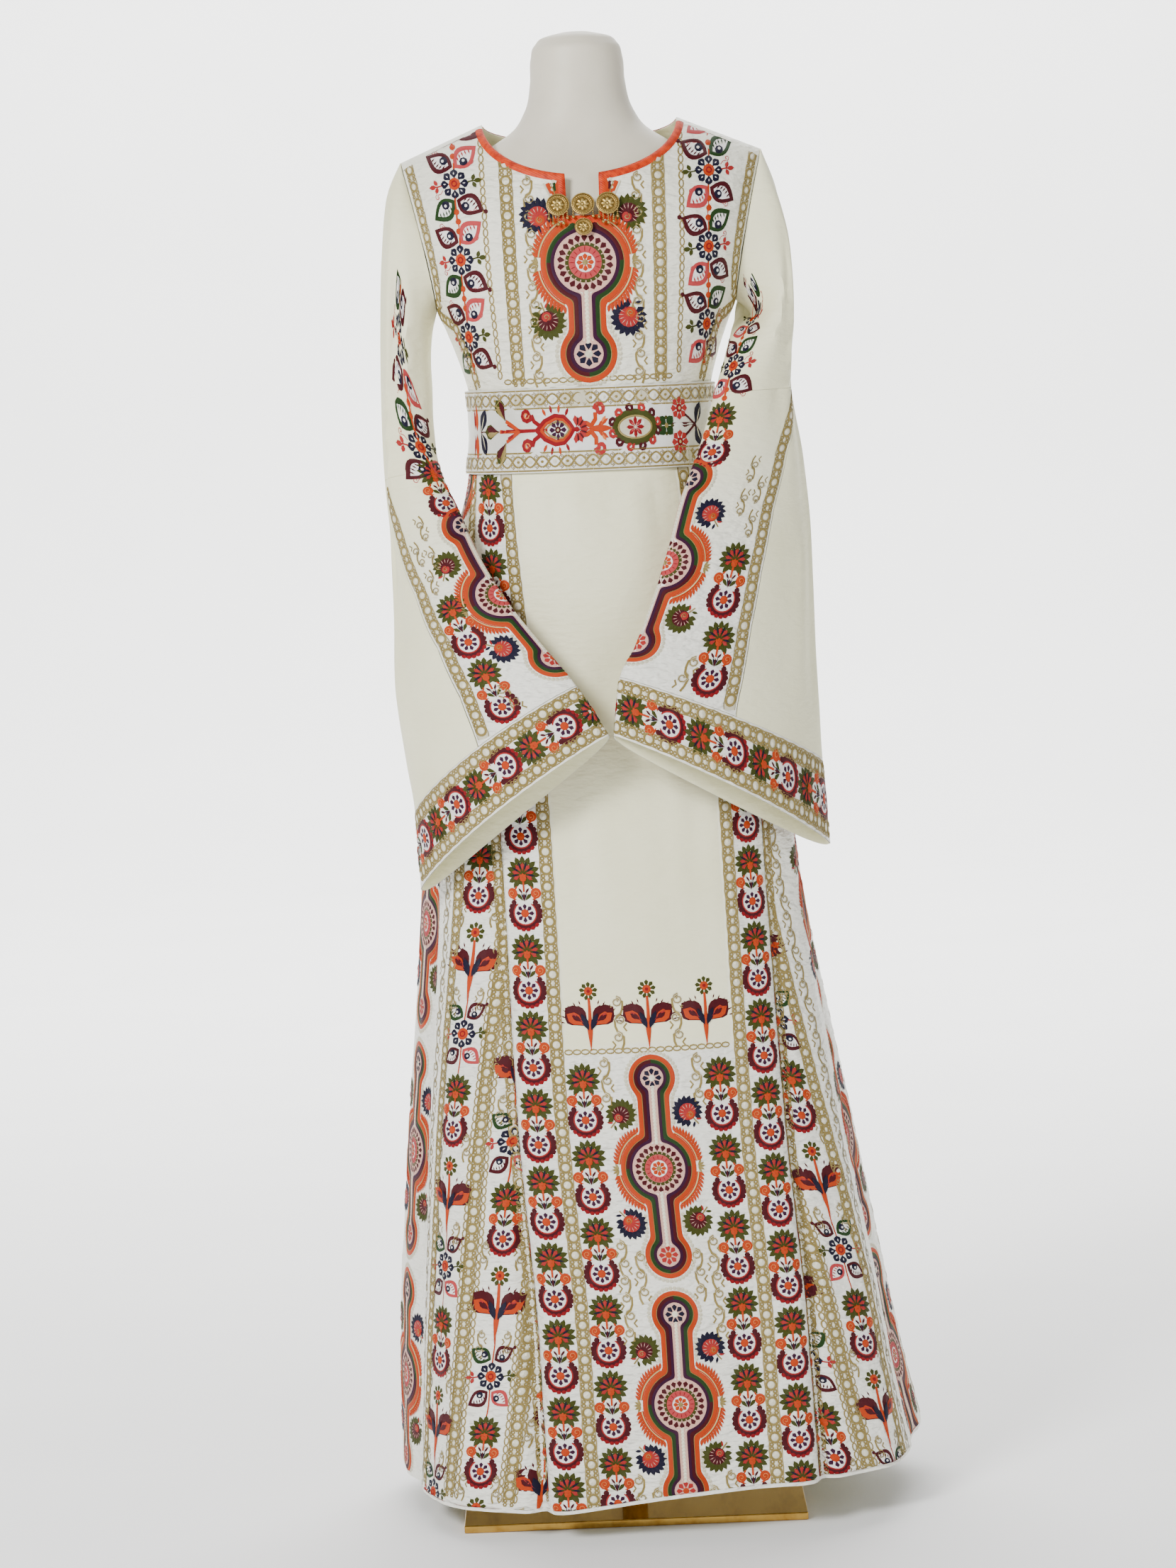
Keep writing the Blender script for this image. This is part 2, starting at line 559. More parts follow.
class Sleeve:
    """The outer side of a sleeve, by row and turn.

    turn is 0 on the inner edge, half a turn on the outer edge, and rises over the front layer.
    """

    def __init__(self, side):
        self.side = side
        self.columns = SLEEVES[side]
        self.steps = np.arange(self.columns.shape[1])
        rows = np.arange(0, LAST_ROW + ROW_STEP / 2, ROW_STEP)
        turns = np.linspace(-math.pi, math.pi, RING_POINTS + 1)
        rings = self.point(*np.meshgrid(rows, turns, indexing="ij"))
        steps = np.linalg.norm(np.diff(rings, axis=1), axis=2)
        along = np.concatenate([np.zeros((len(rows), 1)), np.cumsum(steps, axis=1)], axis=1)
        along -= along[:, RING_POINTS // 2, None]
        wanted = np.linspace(-RING_REACH, RING_REACH, RING_POINTS + 1)
        self.turns = np.array([np.interp(wanted, line, turns) for line in along])
        self.along, self.ring_turns, self.rows = along, turns, rows
        edge = rings[:, RING_POINTS // 2]
        lengths = np.concatenate([[0], np.cumsum(np.linalg.norm(np.diff(edge, axis=0), axis=1))])
        self.edge = lengths - np.interp(CUFF_ROW, rows, lengths)
        self.cuff_drop = float(np.interp(LAST_ROW, rows, self.edge))

    def first_ring(self, turn):
        sign = -1 if self.side == "left" else 1
        middle, reach = (ARMHOLE_TOP_Z + UNDERARM_Z) / 2, (ARMHOLE_TOP_Z - UNDERARM_Z) / 2
        z = middle - reach * np.cos(turn)
        x = armhole_x(z)
        front, back = (
            bodice.flat_point(bodice.angle_at(x, z), z)[1] for bodice in (FRONT, BACK)
        )
        y = np.where(np.sin(turn) >= 0, front, back)
        return np.stack([sign * (x + SLEEVE_START), y, z], axis=-1)

    def point(self, row, turn):
        row, turn = np.broadcast_arrays(np.asarray(row, float), turn)
        values = [smooth(row, self.steps, column) for column in self.columns]
        outer, inner = np.stack(values[0:3], -1), np.stack(values[3:6], -1)
        gap, bow, drop = values[6:9]
        across = (inner - outer) / 2
        out = unit(np.stack([across[..., 1], -across[..., 0], np.zeros_like(row)], -1))
        if self.side == "right":
            out = -out
        lift = bow * np.sin(turn) ** 2 + gap * signed_power(np.sin(turn), 0.9)
        lift = lift + np.sign(np.sin(turn)) * self.crease(row, turn)
        point = (inner + outer) / 2 + across * np.cos(turn)[..., None] + out * lift[..., None]
        point[..., 2] -= drop * np.maximum(-np.sin(turn), 0.0)
        blend = ramp(row)[..., None]
        return self.first_ring(turn) * (1 - blend) + point * blend + AXIS

    def crease(self, row, turn):
        turn = (turn + math.pi) % (2 * math.pi) - math.pi
        moved = 0.0
        for head, foot, head_turn, foot_turn, depth in SLEEVE_CREASES[self.side]:
            share = np.clip((row - head) / (foot - head), 0, 1)
            place = head_turn + (foot_turn - head_turn) * share
            grown = ramp((row - head) / 0.8) * ramp((foot - row) / 1.5)
            moved = moved + depth * grown * bump(turn - place, SLEEVE_CREASE_TURN)
        return moved

    def surface(self, row, turn):
        row, turn = np.broadcast_arrays(np.asarray(row, float), turn)
        reach = np.where(row >= 1, 0.04, 0.5)
        low, high = np.minimum(row + reach, LAST_ROW), np.maximum(row - reach, 0)
        run = self.point(row, turn + 0.01) - self.point(row, turn - 0.01)
        rise = self.point(high, turn) - self.point(low, turn)
        normal = unit(np.cross(run, rise))
        return self.point(row, turn), -normal if self.side == "left" else normal

    def reach(self, row):
        """Half the turn that the insert takes, to each side of the inner edge."""
        share = np.interp(row, np.arange(LAST_ROW + 1), INSERT_EDGE[self.side])
        return np.arccos(2 * share - 1)

    def turn_at(self, row, distance):
        """The turn at a distance round the ring from the inner edge, + over the front."""
        column = (distance + RING_REACH) / (2 * RING_REACH) * RING_POINTS
        return read_grid(self.turns, np.asarray(row) / ROW_STEP, column)

    def distance_at(self, row, turn):
        column = (turn + math.pi) / (2 * math.pi) * RING_POINTS
        return read_grid(self.along, np.asarray(row) / ROW_STEP, column)

    def row_at(self, drop):
        """The row at a distance down the inner edge from the cuff's seam, + below it."""
        return np.interp(drop, self.edge, self.rows)


# ---------------------------------------------------------------- belt
BELT_WRINKLES = (  # distance round from the front, slant, half width, depth
    (-0.175, 0.55, 0.006, -0.0008),
    (-0.118, 0.75, 0.005, -0.0008),
    (-0.072, -0.60, 0.006, 0.0007),
    (-0.034, 0.70, 0.005, -0.0007),
    (0.012, -0.65, 0.006, -0.0008),
    (0.047, 0.60, 0.005, 0.0007),
    (0.083, -0.75, 0.005, -0.0008),
    (0.128, 0.60, 0.006, -0.0008),
    (0.196, -0.55, 0.006, 0.0007),
    (0.300, 0.60, 0.006, -0.0008),
    (-0.280, -0.60, 0.006, -0.0008),
)


class Belt:
    """The belt's outer side, by distance from the front and by height."""

    def __init__(self):
        self.heights = np.linspace(BELT_BOTTOM - 0.004, BELT_TOP + 0.004, 13)
        sections = [self.section(z) for z in self.heights]
        self.lengths = np.array([s[2][-1] for s in sections])
        self.grid = np.array([self.even(*s) for s in sections])

    @staticmethod
    def even(x, y, along):
        share = np.linspace(0, along[-1], SECTION_POINTS + 1)
        return np.stack([np.interp(share, along, x), np.interp(share, along, y)], 1)

    @staticmethod
    def section(z):
        at_waist = max(z, WAIST_Z)
        width, front = (float(smooth(at_waist, BODICE[0], BODICE[i])) for i in (1, 2))
        back = float(smooth(at_waist, BODICE[0], BODICE[3]))
        if z < WAIST_Z:
            width, front, back = (float(smooth(z, SKIRT[0], SKIRT[i])) for i in (1, 2, 3))
        out = BELT_CLEAR + BELT_WALL
        turns = np.linspace(0, 2 * math.pi, SECTION_POINTS + 1)
        depth = np.where(np.cos(turns) > 0, front, back)
        x = (width + out) * signed_power(np.sin(turns), 2 / ROUNDNESS)
        y = -(depth + out) * signed_power(np.cos(turns), 2 / ROUNDNESS)
        return x, y, np.concatenate([[0], np.cumsum(np.hypot(np.diff(x), np.diff(y)))])

    def around(self, z):
        return np.interp(z, self.heights, self.lengths)

    def point(self, s, z):
        s, z = np.broadcast_arrays(s, z)
        share = (s / self.around(z)) % 1.0
        row = (z - self.heights[0]) / (self.heights[1] - self.heights[0])
        column = share * SECTION_POINTS
        flat = read_grid(self.grid, row, column)
        ahead = read_grid(self.grid, row, (column + 2) % SECTION_POINTS)
        run = unit(ahead - flat)
        out = np.stack([run[..., 1], -run[..., 0]], -1)
        middle = (BELT_BOTTOM + BELT_TOP) / 2
        signed = (s + self.around(z) / 2) % self.around(z) - self.around(z) / 2
        inside = ramp((BELT_TOP - z) / 0.012) * ramp((z - BELT_BOTTOM) / 0.012)
        moved = 0.0008 * np.cos(np.clip((z - middle) / (BELT_TOP - middle), -1, 1) * 1.5)
        for place, slant, width, depth in BELT_WRINKLES:
            moved = moved + depth * inside * bump(signed - place - slant * (z - middle), width)
        flat = flat + out * moved[..., None]
        return np.concatenate([flat, z[..., None]], axis=-1) + AXIS

    def surface(self, s, z):
        return with_normals(self.point, s, z, 0.001, 0.001)


SKIRT_CLOTH = Skirt()
FRONT, BACK = Bodice(-1), Bodice(1)
SLEEVE = {side: Sleeve(side) for side in ("left", "right")}
BELT = Belt()


# ---------------------------------------------------------------- materials
def linear(red, green, blue):
    """An sRGB colour in 0-255 as linear values."""
    values = (c / 255 for c in (red, green, blue))
    return tuple(c / 12.92 if c <= 0.04045 else ((c + 0.055) / 1.055) ** 2.4 for c in values)


CREAM, WHITE, FOLD_SHADE = linear(248, 245, 208), linear(243, 242, 231), linear(218, 214, 188)
CREAM_SHADE = linear(241, 238, 198)
SATIN, SATIN_SHADE = linear(238, 238, 236), linear(206, 205, 196)
BINDING, BINDING_DARK = linear(206, 60, 4), linear(160, 34, 2)
FORM_LIGHT, FORM_DARK = linear(222, 215, 196), linear(210, 202, 182)
GOLD, GOLD_DARK = linear(206, 164, 84), linear(176, 130, 56)
COIN_LIGHT, COIN_DARK = linear(212, 184, 112), linear(120, 92, 40)
FLOOR = linear(246, 246, 245)


class Nodes:
    """A short way to wire a material's nodes."""

    def __init__(self, name):
        self.material = bpy.data.materials.new(name)
        self.material.use_nodes = True
        self.tree = self.material.node_tree
        self.shader = self.tree.nodes["Principled BSDF"]

    def node(self, kind, **settings):
        made = self.tree.nodes.new(kind)
        for key, value in settings.items():
            setattr(made, key, value)
        return made

    def link(self, source, target):
        self.tree.links.new(source, target)

    def set(self, **values):
        for key, value in values.items():
            self.shader.inputs[key.replace("_", " ")].default_value = value

    def place(self, kind="Object", scale=(1, 1, 1)):
        """Coordinates, stretched."""
        coordinates = self.node("ShaderNodeTexCoord")
        mapping = self.node("ShaderNodeMapping")
        mapping.inputs["Scale"].default_value = scale
        self.link(coordinates.outputs[kind], mapping.inputs["Vector"])
        return mapping.outputs["Vector"]

    def noise(self, vector, scale, detail=2.0, roughness=0.5):
        noise = self.node("ShaderNodeTexNoise")
        noise.inputs["Scale"].default_value = scale
        noise.inputs["Detail"].default_value = detail
        noise.inputs["Roughness"].default_value = roughness
        self.link(vector, noise.inputs["Vector"])
        return noise.outputs["Fac"]

    def wave(self, vector, scale, distortion=0.0, direction="X"):
        wave = self.node("ShaderNodeTexWave", bands_direction=direction)
        wave.inputs["Scale"].default_value = scale
        wave.inputs["Distortion"].default_value = distortion
        self.link(vector, wave.inputs["Vector"])
        return wave.outputs["Fac"]

    def attribute(self, name):
        return self.node("ShaderNodeAttribute", attribute_name=name)

    def ramp(self, factor, *stops):
        """A colour ramp of (position, linear colour)."""
        ramp_node = self.node("ShaderNodeValToRGB")
        elements = ramp_node.color_ramp.elements
        while len(elements) < len(stops):
            elements.new(0.5)
        for element, (position, colour) in zip(elements, stops):
            element.position = position
            element.color = (*colour, 1.0)
        self.link(factor, ramp_node.inputs["Fac"])
        return ramp_node.outputs["Color"]

    def mix(self, factor, first, second, blend="MIX"):
        """Mixes two colours. Each is a socket or a linear colour, and so is the factor."""
        mix = self.node("ShaderNodeMix", data_type="RGBA", blend_type=blend)
        for value, place in ((factor, 0), (first, 6), (second, 7)):
            if isinstance(value, bpy.types.NodeSocket):
                self.link(value, mix.inputs[place])
            elif isinstance(value, tuple):
                mix.inputs[place].default_value = (*value, 1.0)
            else:
                mix.inputs[place].default_value = value
        return mix.outputs[2]

    def math(self, operation, first, second):
        maths = self.node("ShaderNodeMath", operation=operation)
        for value, socket in ((first, maths.inputs[0]), (second, maths.inputs[1])):
            if isinstance(value, bpy.types.NodeSocket):
                self.link(value, socket)
            else:
                socket.default_value = value
        return maths.outputs[0]

    def bump(self, *heights):
        """Bump from (factor, distance) pairs."""
        last = None
        for factor, distance in heights:
            bump_node = self.node("ShaderNodeBump")
            bump_node.inputs["Strength"].default_value = 1.0
            bump_node.inputs["Distance"].default_value = distance
            self.link(factor, bump_node.inputs["Height"])
            if last:
                self.link(last, bump_node.inputs["Normal"])
            last = bump_node.outputs["Normal"]
        self.link(last, self.shader.inputs["Normal"])

    def colour(self, socket):
        self.link(socket, self.shader.inputs["Base Color"])


PUCKER = 0.0060  # how deep stitching pulls the cloth between its figures
PLAIN_PUCKER = 0.2  # the share of that on cloth without stitches


def cloth_material(name, light, dark, roughness, sheen, weave_scale):
    """Crepe or satin: a fine weave, slubs, and a little shade in the low places.

    The attribute ground is 1 where the embroidery's whiter ground shows.
    """
    m = Nodes(name)
    place = m.place()
    cloudy = m.noise(place, 9.0, 3.0)
    slub = m.noise(m.place(scale=(1, 1, 0.12)), 240.0, 2.0)
    base = m.ramp(cloudy, (0.32, dark), (0.62, light))
    ground = m.attribute("ground").outputs["Fac"]
    base = m.mix(ground, base, WHITE)
    base = m.mix(m.math("MULTIPLY", slub, 0.10), base, FOLD_SHADE)
    m.colour(base)
    warp = m.wave(place, weave_scale, 0.6, "X")
    weft = m.wave(place, weave_scale, 0.6, "Z")
    weave = m.math("ADD", m.math("MULTIPLY", warp, 0.5), m.math("MULTIPLY", weft, 0.5))
    pulled = m.math("MULTIPLY", m.noise(m.place(scale=(1, 1, 2.4)), 70.0, 2.0),
                    m.math("MAXIMUM", ground, PLAIN_PUCKER))
    m.bump((weave, 0.00006), (slub, 0.00012), (pulled, PUCKER))
    m.set(Roughness=roughness, Sheen_Weight=sheen, Sheen_Roughness=0.4)
    return m.material


def binding_material():
    """Orange satin, ribbed across."""
    m = Nodes("orange_binding")
    place = m.place()
    m.colour(m.ramp(m.noise(place, 160.0, 2.0), (0.3, BINDING_DARK), (0.6, BINDING)))
    m.bump((m.wave(place, 190.0, 1.5, "DIAGONAL"), 0.0002))
    m.set(Roughness=0.5, Specular_IOR_Level=0.25)
    return m.material


def form_material():
    """Matte painted shell with faint marks of handling."""
    m = Nodes("form_paint")
    place = m.place()
    m.colour(m.ramp(m.noise(place, 7.0, 4.0, 0.6), (0.35, FORM_DARK), (0.6, FORM_LIGHT)))
    m.bump((m.noise(place, 420.0, 2.0), 0.00008))
    m.set(Roughness=0.5)
    return m.material


def gold_plate_material():
    """Mirror-polished gold with faint wipe marks."""
    m = Nodes("polished_gold")
    place = m.place(scale=(1, 0.2, 1))
    marks = m.noise(place, 30.0, 4.0, 0.7)
    m.colour(m.ramp(marks, (0.3, GOLD_DARK), (0.55, GOLD)))
    m.link(m.math("MULTIPLY", marks, 0.16), m.shader.inputs["Roughness"])
    m.bump((marks, 0.00002))
    m.set(Metallic=1.0)
    return m.material


def coin_material():
    """Stamped brass, dark in its low places."""
    m = Nodes("stamped_brass")
    place = m.place()
    wear = m.mix(m.math("MULTIPLY", m.noise(place, 300.0, 3.0), 0.7), COIN_LIGHT, COIN_DARK)
    m.colour(m.mix(m.attribute("low").outputs["Fac"], wear, COIN_DARK))
    m.bump((m.noise(place, 900.0, 2.0), 0.0002))
    m.set(Metallic=0.9, Roughness=0.38)
    return m.material


# Threads: each has a place on the embroidery's map, a 4 x 4 board of swatches.
THREADS = {  # name: colour, whether it is metal
    "orange": (linear(192, 62, 8), False),
    "coral": (linear(172, 42, 40), False),
    "peach": (linear(226, 124, 66), False),
    "pink": (linear(190, 66, 68), False),
    "maroon": (linear(72, 0, 14), False),
    "red": (linear(140, 2, 16), False),
    "purple": (linear(54, 2, 44), False),
    "navy": (linear(14, 10, 40), False),
    "olive": (linear(62, 66, 8), False),
    "green": (linear(26, 58, 12), False),
    "white": (linear(250, 247, 242), False),
    "blush": (linear(224, 178, 160), False),
    "gold": (linear(152, 133, 72), True),
    "pale gold": (linear(212, 196, 134), True),
    "pearl": (linear(250, 246, 220), True),
    "grey gold": (linear(224, 219, 192), True),
}
THREAD_NUMBER = {name: i for i, name in enumerate(THREADS)}
BOARD = 4  # swatches along each side of the board
SWATCH = 32.0  # millimetres of thread along each side of a swatch
THREAD_PITCH = 0.62  # millimetres from thread to thread


def thread_material(metal):
    """Satin stitch: its colour is the thread's, its lines run with the map's swatches."""
    m = Nodes("metal_thread" if metal else "silk_thread")
    place = m.place("UV")
    bands = 2 * math.pi / (20 * THREAD_PITCH / (SWATCH * BOARD))
    lines = m.wave(place, bands, 1.2, "X")
    tone = m.noise(place, 60.0, 2.0)
    colour = m.attribute("thread").outputs["Color"]
    darker = m.mix(1.0, colour, (0.62, 0.58, 0.56) if metal else (0.66, 0.62, 0.62), "MULTIPLY")
    depth = m.math("MULTIPLY", m.math("ADD", m.math("MULTIPLY", lines, 0.6), tone), 0.45)
    m.colour(m.mix(depth, colour, darker))
    m.bump((lines, 0.00012))
    if metal:
        m.set(Metallic=0.25, Roughness=0.42)
    else:
        m.set(Roughness=0.55, Specular_IOR_Level=0.22)
    return m.material


IVORY = cloth_material("ivory_crepe", CREAM, CREAM_SHADE, 0.62, 0.12, 420.0)
GROUND = cloth_material("embroidered_ground", CREAM, CREAM_SHADE, 0.50, 0.12, 420.0)
SATIN_CLOTH = cloth_material("belt_satin", SATIN, SATIN_SHADE, 0.36, 0.2, 520.0)
ORANGE = binding_material()
FORM_PAINT = form_material()
POLISHED_GOLD = gold_plate_material()
BRASS = coin_material()
SILK, METAL_THREAD = thread_material(False), thread_material(True)


# ---------------------------------------------------------------- meshes
MAP_NAME = "OFBake"


def make_object(name, points, faces, materials, sharp=40):
    mesh = bpy.data.meshes.new(name)
    mesh.from_pydata(points.tolist(), [], faces if isinstance(faces, list) else faces.tolist())
    for item in materials:
        mesh.materials.append(item)
    mesh.shade_smooth()
    mesh.set_sharp_from_angle(angle=math.radians(sharp))
    made = bpy.data.objects.new(name, mesh)
    bpy.context.collection.objects.link(made)
    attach(made, "root")
    return made


def add_map(mesh, places):
    """places holds u, v for each corner, in the order of the mesh's loops."""
    layer = mesh.uv_layers.new(name=MAP_NAME)
    layer.uv.foreach_set("vector", np.asarray(places, np.float32).ravel())


def add_values(mesh, name, values):
    mesh.attributes.new(name, "FLOAT", "POINT").data.foreach_set(
        "value", np.asarray(values, np.float32).ravel()
    )


def shell(name, node, points, normals, material, keep=None, closed=False, wall=WALL,
          ground=0.0):
    """A closed wall of cloth that stands for a CAD node.

    points and normals are grids [row][column] of its outer side, rows from the lowest up. keep
    says which cells it has. Its map has the outer side on the left half.
    """
    rows, columns = points.shape[:2]
    wide = columns if closed else columns - 1
    inside = rows * columns
    every = np.concatenate([points.reshape(-1, 3), (points - normals * wall).reshape(-1, 3)])
    r, c = np.meshgrid(np.arange(rows - 1), np.arange(wide), indexing="ij")
    if keep is not None:
        r, c = r[keep], c[keep]
    r, c = r.ravel(), c.ravel()
    n = (c + 1) % columns
    outer = np.stack([r * columns + c, r * columns + n, (r + 1) * columns + n,
                      (r + 1) * columns + c], 1)
    u = np.stack([c, c + 1, c + 1, c], 1) / wide * 0.48
    v = np.stack([r, r, r + 1, r + 1], 1) / (rows - 1) * 0.98
    edges = {}
    for face, (fu, fv) in zip(outer.tolist(), zip(u.tolist(), v.tolist())):
        for i in range(4):
            a, b = face[i], face[(i + 1) % 4]
            if edges.pop((b, a), None) is None:
                edges[(a, b)] = ((fu[i], fv[i]), (fu[(i + 1) % 4], fv[(i + 1) % 4]))
    rims = [(b, a, a + inside, b + inside) for a, b in edges]
    rim_map = [(q, p, p, q) for p, q in edges.values()]
    faces = outer.tolist() + (outer[:, ::-1] + inside).tolist() + rims
    places = np.concatenate([
        np.stack([u, v], 2).reshape(-1, 2),
        (np.stack([u, v], 2)[:, ::-1] + (0.51, 0.0)).reshape(-1, 2),
        np.array(rim_map).reshape(-1, 2),
    ]) + 0.01
    used = np.unique(np.concatenate([outer.ravel(), outer.ravel() + inside]))
    number = np.zeros(len(every), int)
    number[used] = np.arange(len(used))
    faces = [tuple(number[list(face)].tolist()) for face in faces]
    made = make_object(name, every[used], faces, [material])
    add_map(made.data, places)
    whiteness = np.broadcast_to(ground, (rows, columns)).ravel()
    add_values(made.data, "ground", np.concatenate([whiteness, whiteness * 0])[used])
    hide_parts(node)
    return made


# ---------------------------------------------------------------- cloth pieces
SKIRT_ROW_COUNT = 150
PANEL_COLUMNS, GORE_COLUMNS = 54, 92


def skirt_grid(kind, place):
    """Distances and heights of a skirt panel's grid. place holds the columns' places."""
    shares = np.linspace(1, 0, SKIRT_ROW_COUNT + 1) ** 1.15
    top = WAIST_Z - SEAM / 2
    hem_z = SKIRT[0][0]

    def distance(z):
        gore = SKIRT_CLOTH.gore(z)
        if kind == "front":
            return place + 0 * z
        if kind == "back":
            return SKIRT_CLOTH.around(z) / 2 + place
        edge = SEAM + place * (gore - 2 * SEAM)
        return (PANEL_HALF + edge) * (1 if kind == "right" else -1)

    hems = SKIRT_CLOTH.hem(distance(hem_z), hem_z)
    heights = top + (hems[None, :] - top) * shares[:, None]
    return distance(heights), heights


def skirt_panel(kind, ground):
    """A panel of the skirt. ground(distance, z) says where its ground is white."""
    if kind in ("front", "back"):
        place = np.linspace(-PANEL_HALF, PANEL_HALF, PANEL_COLUMNS + 1)
    else:
        place = np.linspace(0, 1, GORE_COLUMNS + 1)
        if kind == "left":
            place = place[::-1]
    distances, heights = skirt_grid(kind, place)
    points, normals = SKIRT_CLOTH.surface(distances, heights)
    name = f"skirt_gore_{kind}" if kind in ("left", "right") else f"skirt_{kind}"
    return shell(f"{name}_cloth", name, points, normals, GROUND,
                 ground=ground(place, heights))


PLAIN_HALF, PLAIN_FOOT_Z = 0.088, 0.512  # half width of a middle panel's plain part, its foot


def panel_ground(place, z):
    """The plain middle stays cream; the worked sides and foot are white."""
    aside = ramp((np.abs(place) - PLAIN_HALF) / 0.004)
    below = ramp((PLAIN_FOOT_Z - z) / 0.006)
    return np.maximum(aside, below) + 0 * z


def all_white(_, z):
    """A side panel is worked all over, so all its ground is white."""
    return 1.0 + 0 * z


def bodice_panel(name, bodice):
    fine = 3  # cells to each cell of the CAD's grid
    lines = np.linspace(0, LINES - 1, (LINES - 1) * fine + 1)
    lines = np.concatenate([-lines[:0:-1], lines])
    low = np.linspace(0, SLIT_SHARE, 40)
    shares = np.concatenate([low, np.linspace(SLIT_SHARE, 1.0, 16)[1:]])
    angles, heights = bodice_places(bodice, lines, shares)
    if bodice.face > 0:
        angles, heights = angles[:, ::-1], heights[:, ::-1]
    points, normals = bodice.surface(angles, heights)
    columns = len(lines) - 1
    middle = columns // 2
    keep = np.ones((len(shares) - 1, columns), bool)
    if bodice.face < 0:
        keep[len(low) - 1:, middle - fine:middle + fine] = False
    return shell(f"{name}_cloth", name, points, normals, GROUND, keep=keep,
                 ground=0.75)


def sleeve_grid(sleeve, rows, low, high, columns):
    """A sleeve's cells from its lowest row up. low and high give each row's first and last turn."""
    turns = np.stack([np.linspace(low(row), high(row), columns + 1) for row in rows])
    if sleeve.side == "left":
        turns = turns[:, ::-1]
    return sleeve.surface(np.asarray(rows)[:, None], turns)


def plain_sleeve(side):
    """A whole tube above the insert, and open along the insert below it."""
    sleeve, top = SLEEVE[side], INSERT_TOP[side]
    insert_columns, plain_columns = 18, 44
    rows = np.linspace(CUFF_ROW, 0, CUFF_ROW * 9 + 1)

    def ring(row):
        reach = sleeve.reach(row)
        plain = np.linspace(reach, 2 * math.pi - reach, plain_columns + 1)
        turns = np.concatenate([np.linspace(-reach, reach, insert_columns + 1), plain[1:-1]])
        return turns if side == "right" else turns[::-1]

    turns = np.stack([ring(row) for row in rows])
    points, normals = sleeve.surface(rows[:, None], turns)
    columns = turns.shape[1]
    cell = np.arange(columns)
    from_insert = cell if side == "right" else (columns - 2 - cell) % columns
    upper = rows[:-1] <= top + 1e-6
    keep = upper[:, None] | (from_insert >= insert_columns)[None, :]
    return shell(f"sleeve_{side}_cloth", f"sleeve_{side}", points, normals, IVORY,
                 keep=keep, closed=True)


def sleeve_insert(side):
    sleeve, top = SLEEVE[side], INSERT_TOP[side]
    rows = np.linspace(CUFF_ROW - SEAM_ROW, top + SEAM_ROW, (CUFF_ROW - top) * 10)
    edge_gap = 0.010

    def reach(row):
        return sleeve.reach(row) - edge_gap

    points, normals = sleeve_grid(sleeve, rows, lambda r: -reach(r), reach, 44)
    whiter = ramp((rows[:, None] - top) / 3.5)
    return shell(f"insert_{side}_cloth", f"insert_{side}", points, normals, GROUND,
                 ground=whiter)


def sleeve_cuff(side):
    sleeve = SLEEVE[side]
    rows = np.linspace(LAST_ROW, CUFF_ROW + SEAM_ROW, 13)
    turns = np.linspace(-math.pi, math.pi, 121)[:-1]
    if side == "left":
        turns = turns[::-1]
    points, normals = sleeve.surface(rows[:, None], np.broadcast_to(turns, (13, 120)))
    return shell(f"cuff_{side}_cloth", f"cuff_{side}", points, normals, GROUND,
                 closed=True, ground=1.0)


def belt_band():
    heights = np.linspace(BELT_BOTTOM, BELT_TOP, 19)[:, None]
    share = np.arange(300) / 300
    points, normals = BELT.surface(share * BELT.around(heights), heights + 0 * share)
    return shell("belt_cloth", "belt", points, normals, SATIN_CLOTH,
                 closed=True, wall=BELT_WALL)


# ---------------------------------------------------------------- binding
BINDING_WIDE, BINDING_PROUD = 0.0075, 0.0017
BINDING_PROFILE = ((-0.10, 0.15), (0.05, 0.75), (0.35, 1.0), (0.70, 0.85), (1.0, 0.15))


def binding(name, bodice, path):
    """A rolled band along a path of (x, z) on the bodice, to the left of its run."""
    path = np.array(path)
    runs = np.gradient(path, axis=0)
    asides = unit(np.stack([-runs[:, 1], runs[:, 0]], 1))
    lines = []
    for aside, proud in BINDING_PROFILE:
        places = path + asides * aside * BINDING_WIDE
        places[:, 1] = np.minimum(places[:, 1], shoulder_height(places[:, 0]) - 0.0005)
        points, normals = bodice.surface(bodice.angle_at(places[:, 0], places[:, 1]),
                                         places[:, 1])
        lines.append(points + normals * proud * BINDING_PROUD)
    under = [lines[-1] * 0.5 + lines[0] * 0.5]
    ring = np.array(lines + under)
    count = len(path)
    number = np.arange(len(ring) * count).reshape(len(ring), count)
    faces = []
    for i in range(len(ring)):
        a, b = number[i], number[(i + 1) % len(ring)]
        faces += [(a[k], a[k + 1], b[k + 1], b[k]) for k in range(count - 1)]
    faces += [tuple(number[::-1, 0]), tuple(number[:, -1])]
    faces = [tuple(int(i) for i in face) for face in faces]
    made = make_object(name, ring.reshape(-1, 3), faces, [ORANGE])
    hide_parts(name.replace("_band", ""))
    return made


def neck_path(drop, start, end, count):
    """Points on half the neckline, by turn: 0 at the centre, a quarter turn at the shoulder."""
    turns = np.linspace(start, end, count)
    x = NECK_X * np.sin(turns)
    return [(float(a), float(neck_height(a, drop))) for a in x]


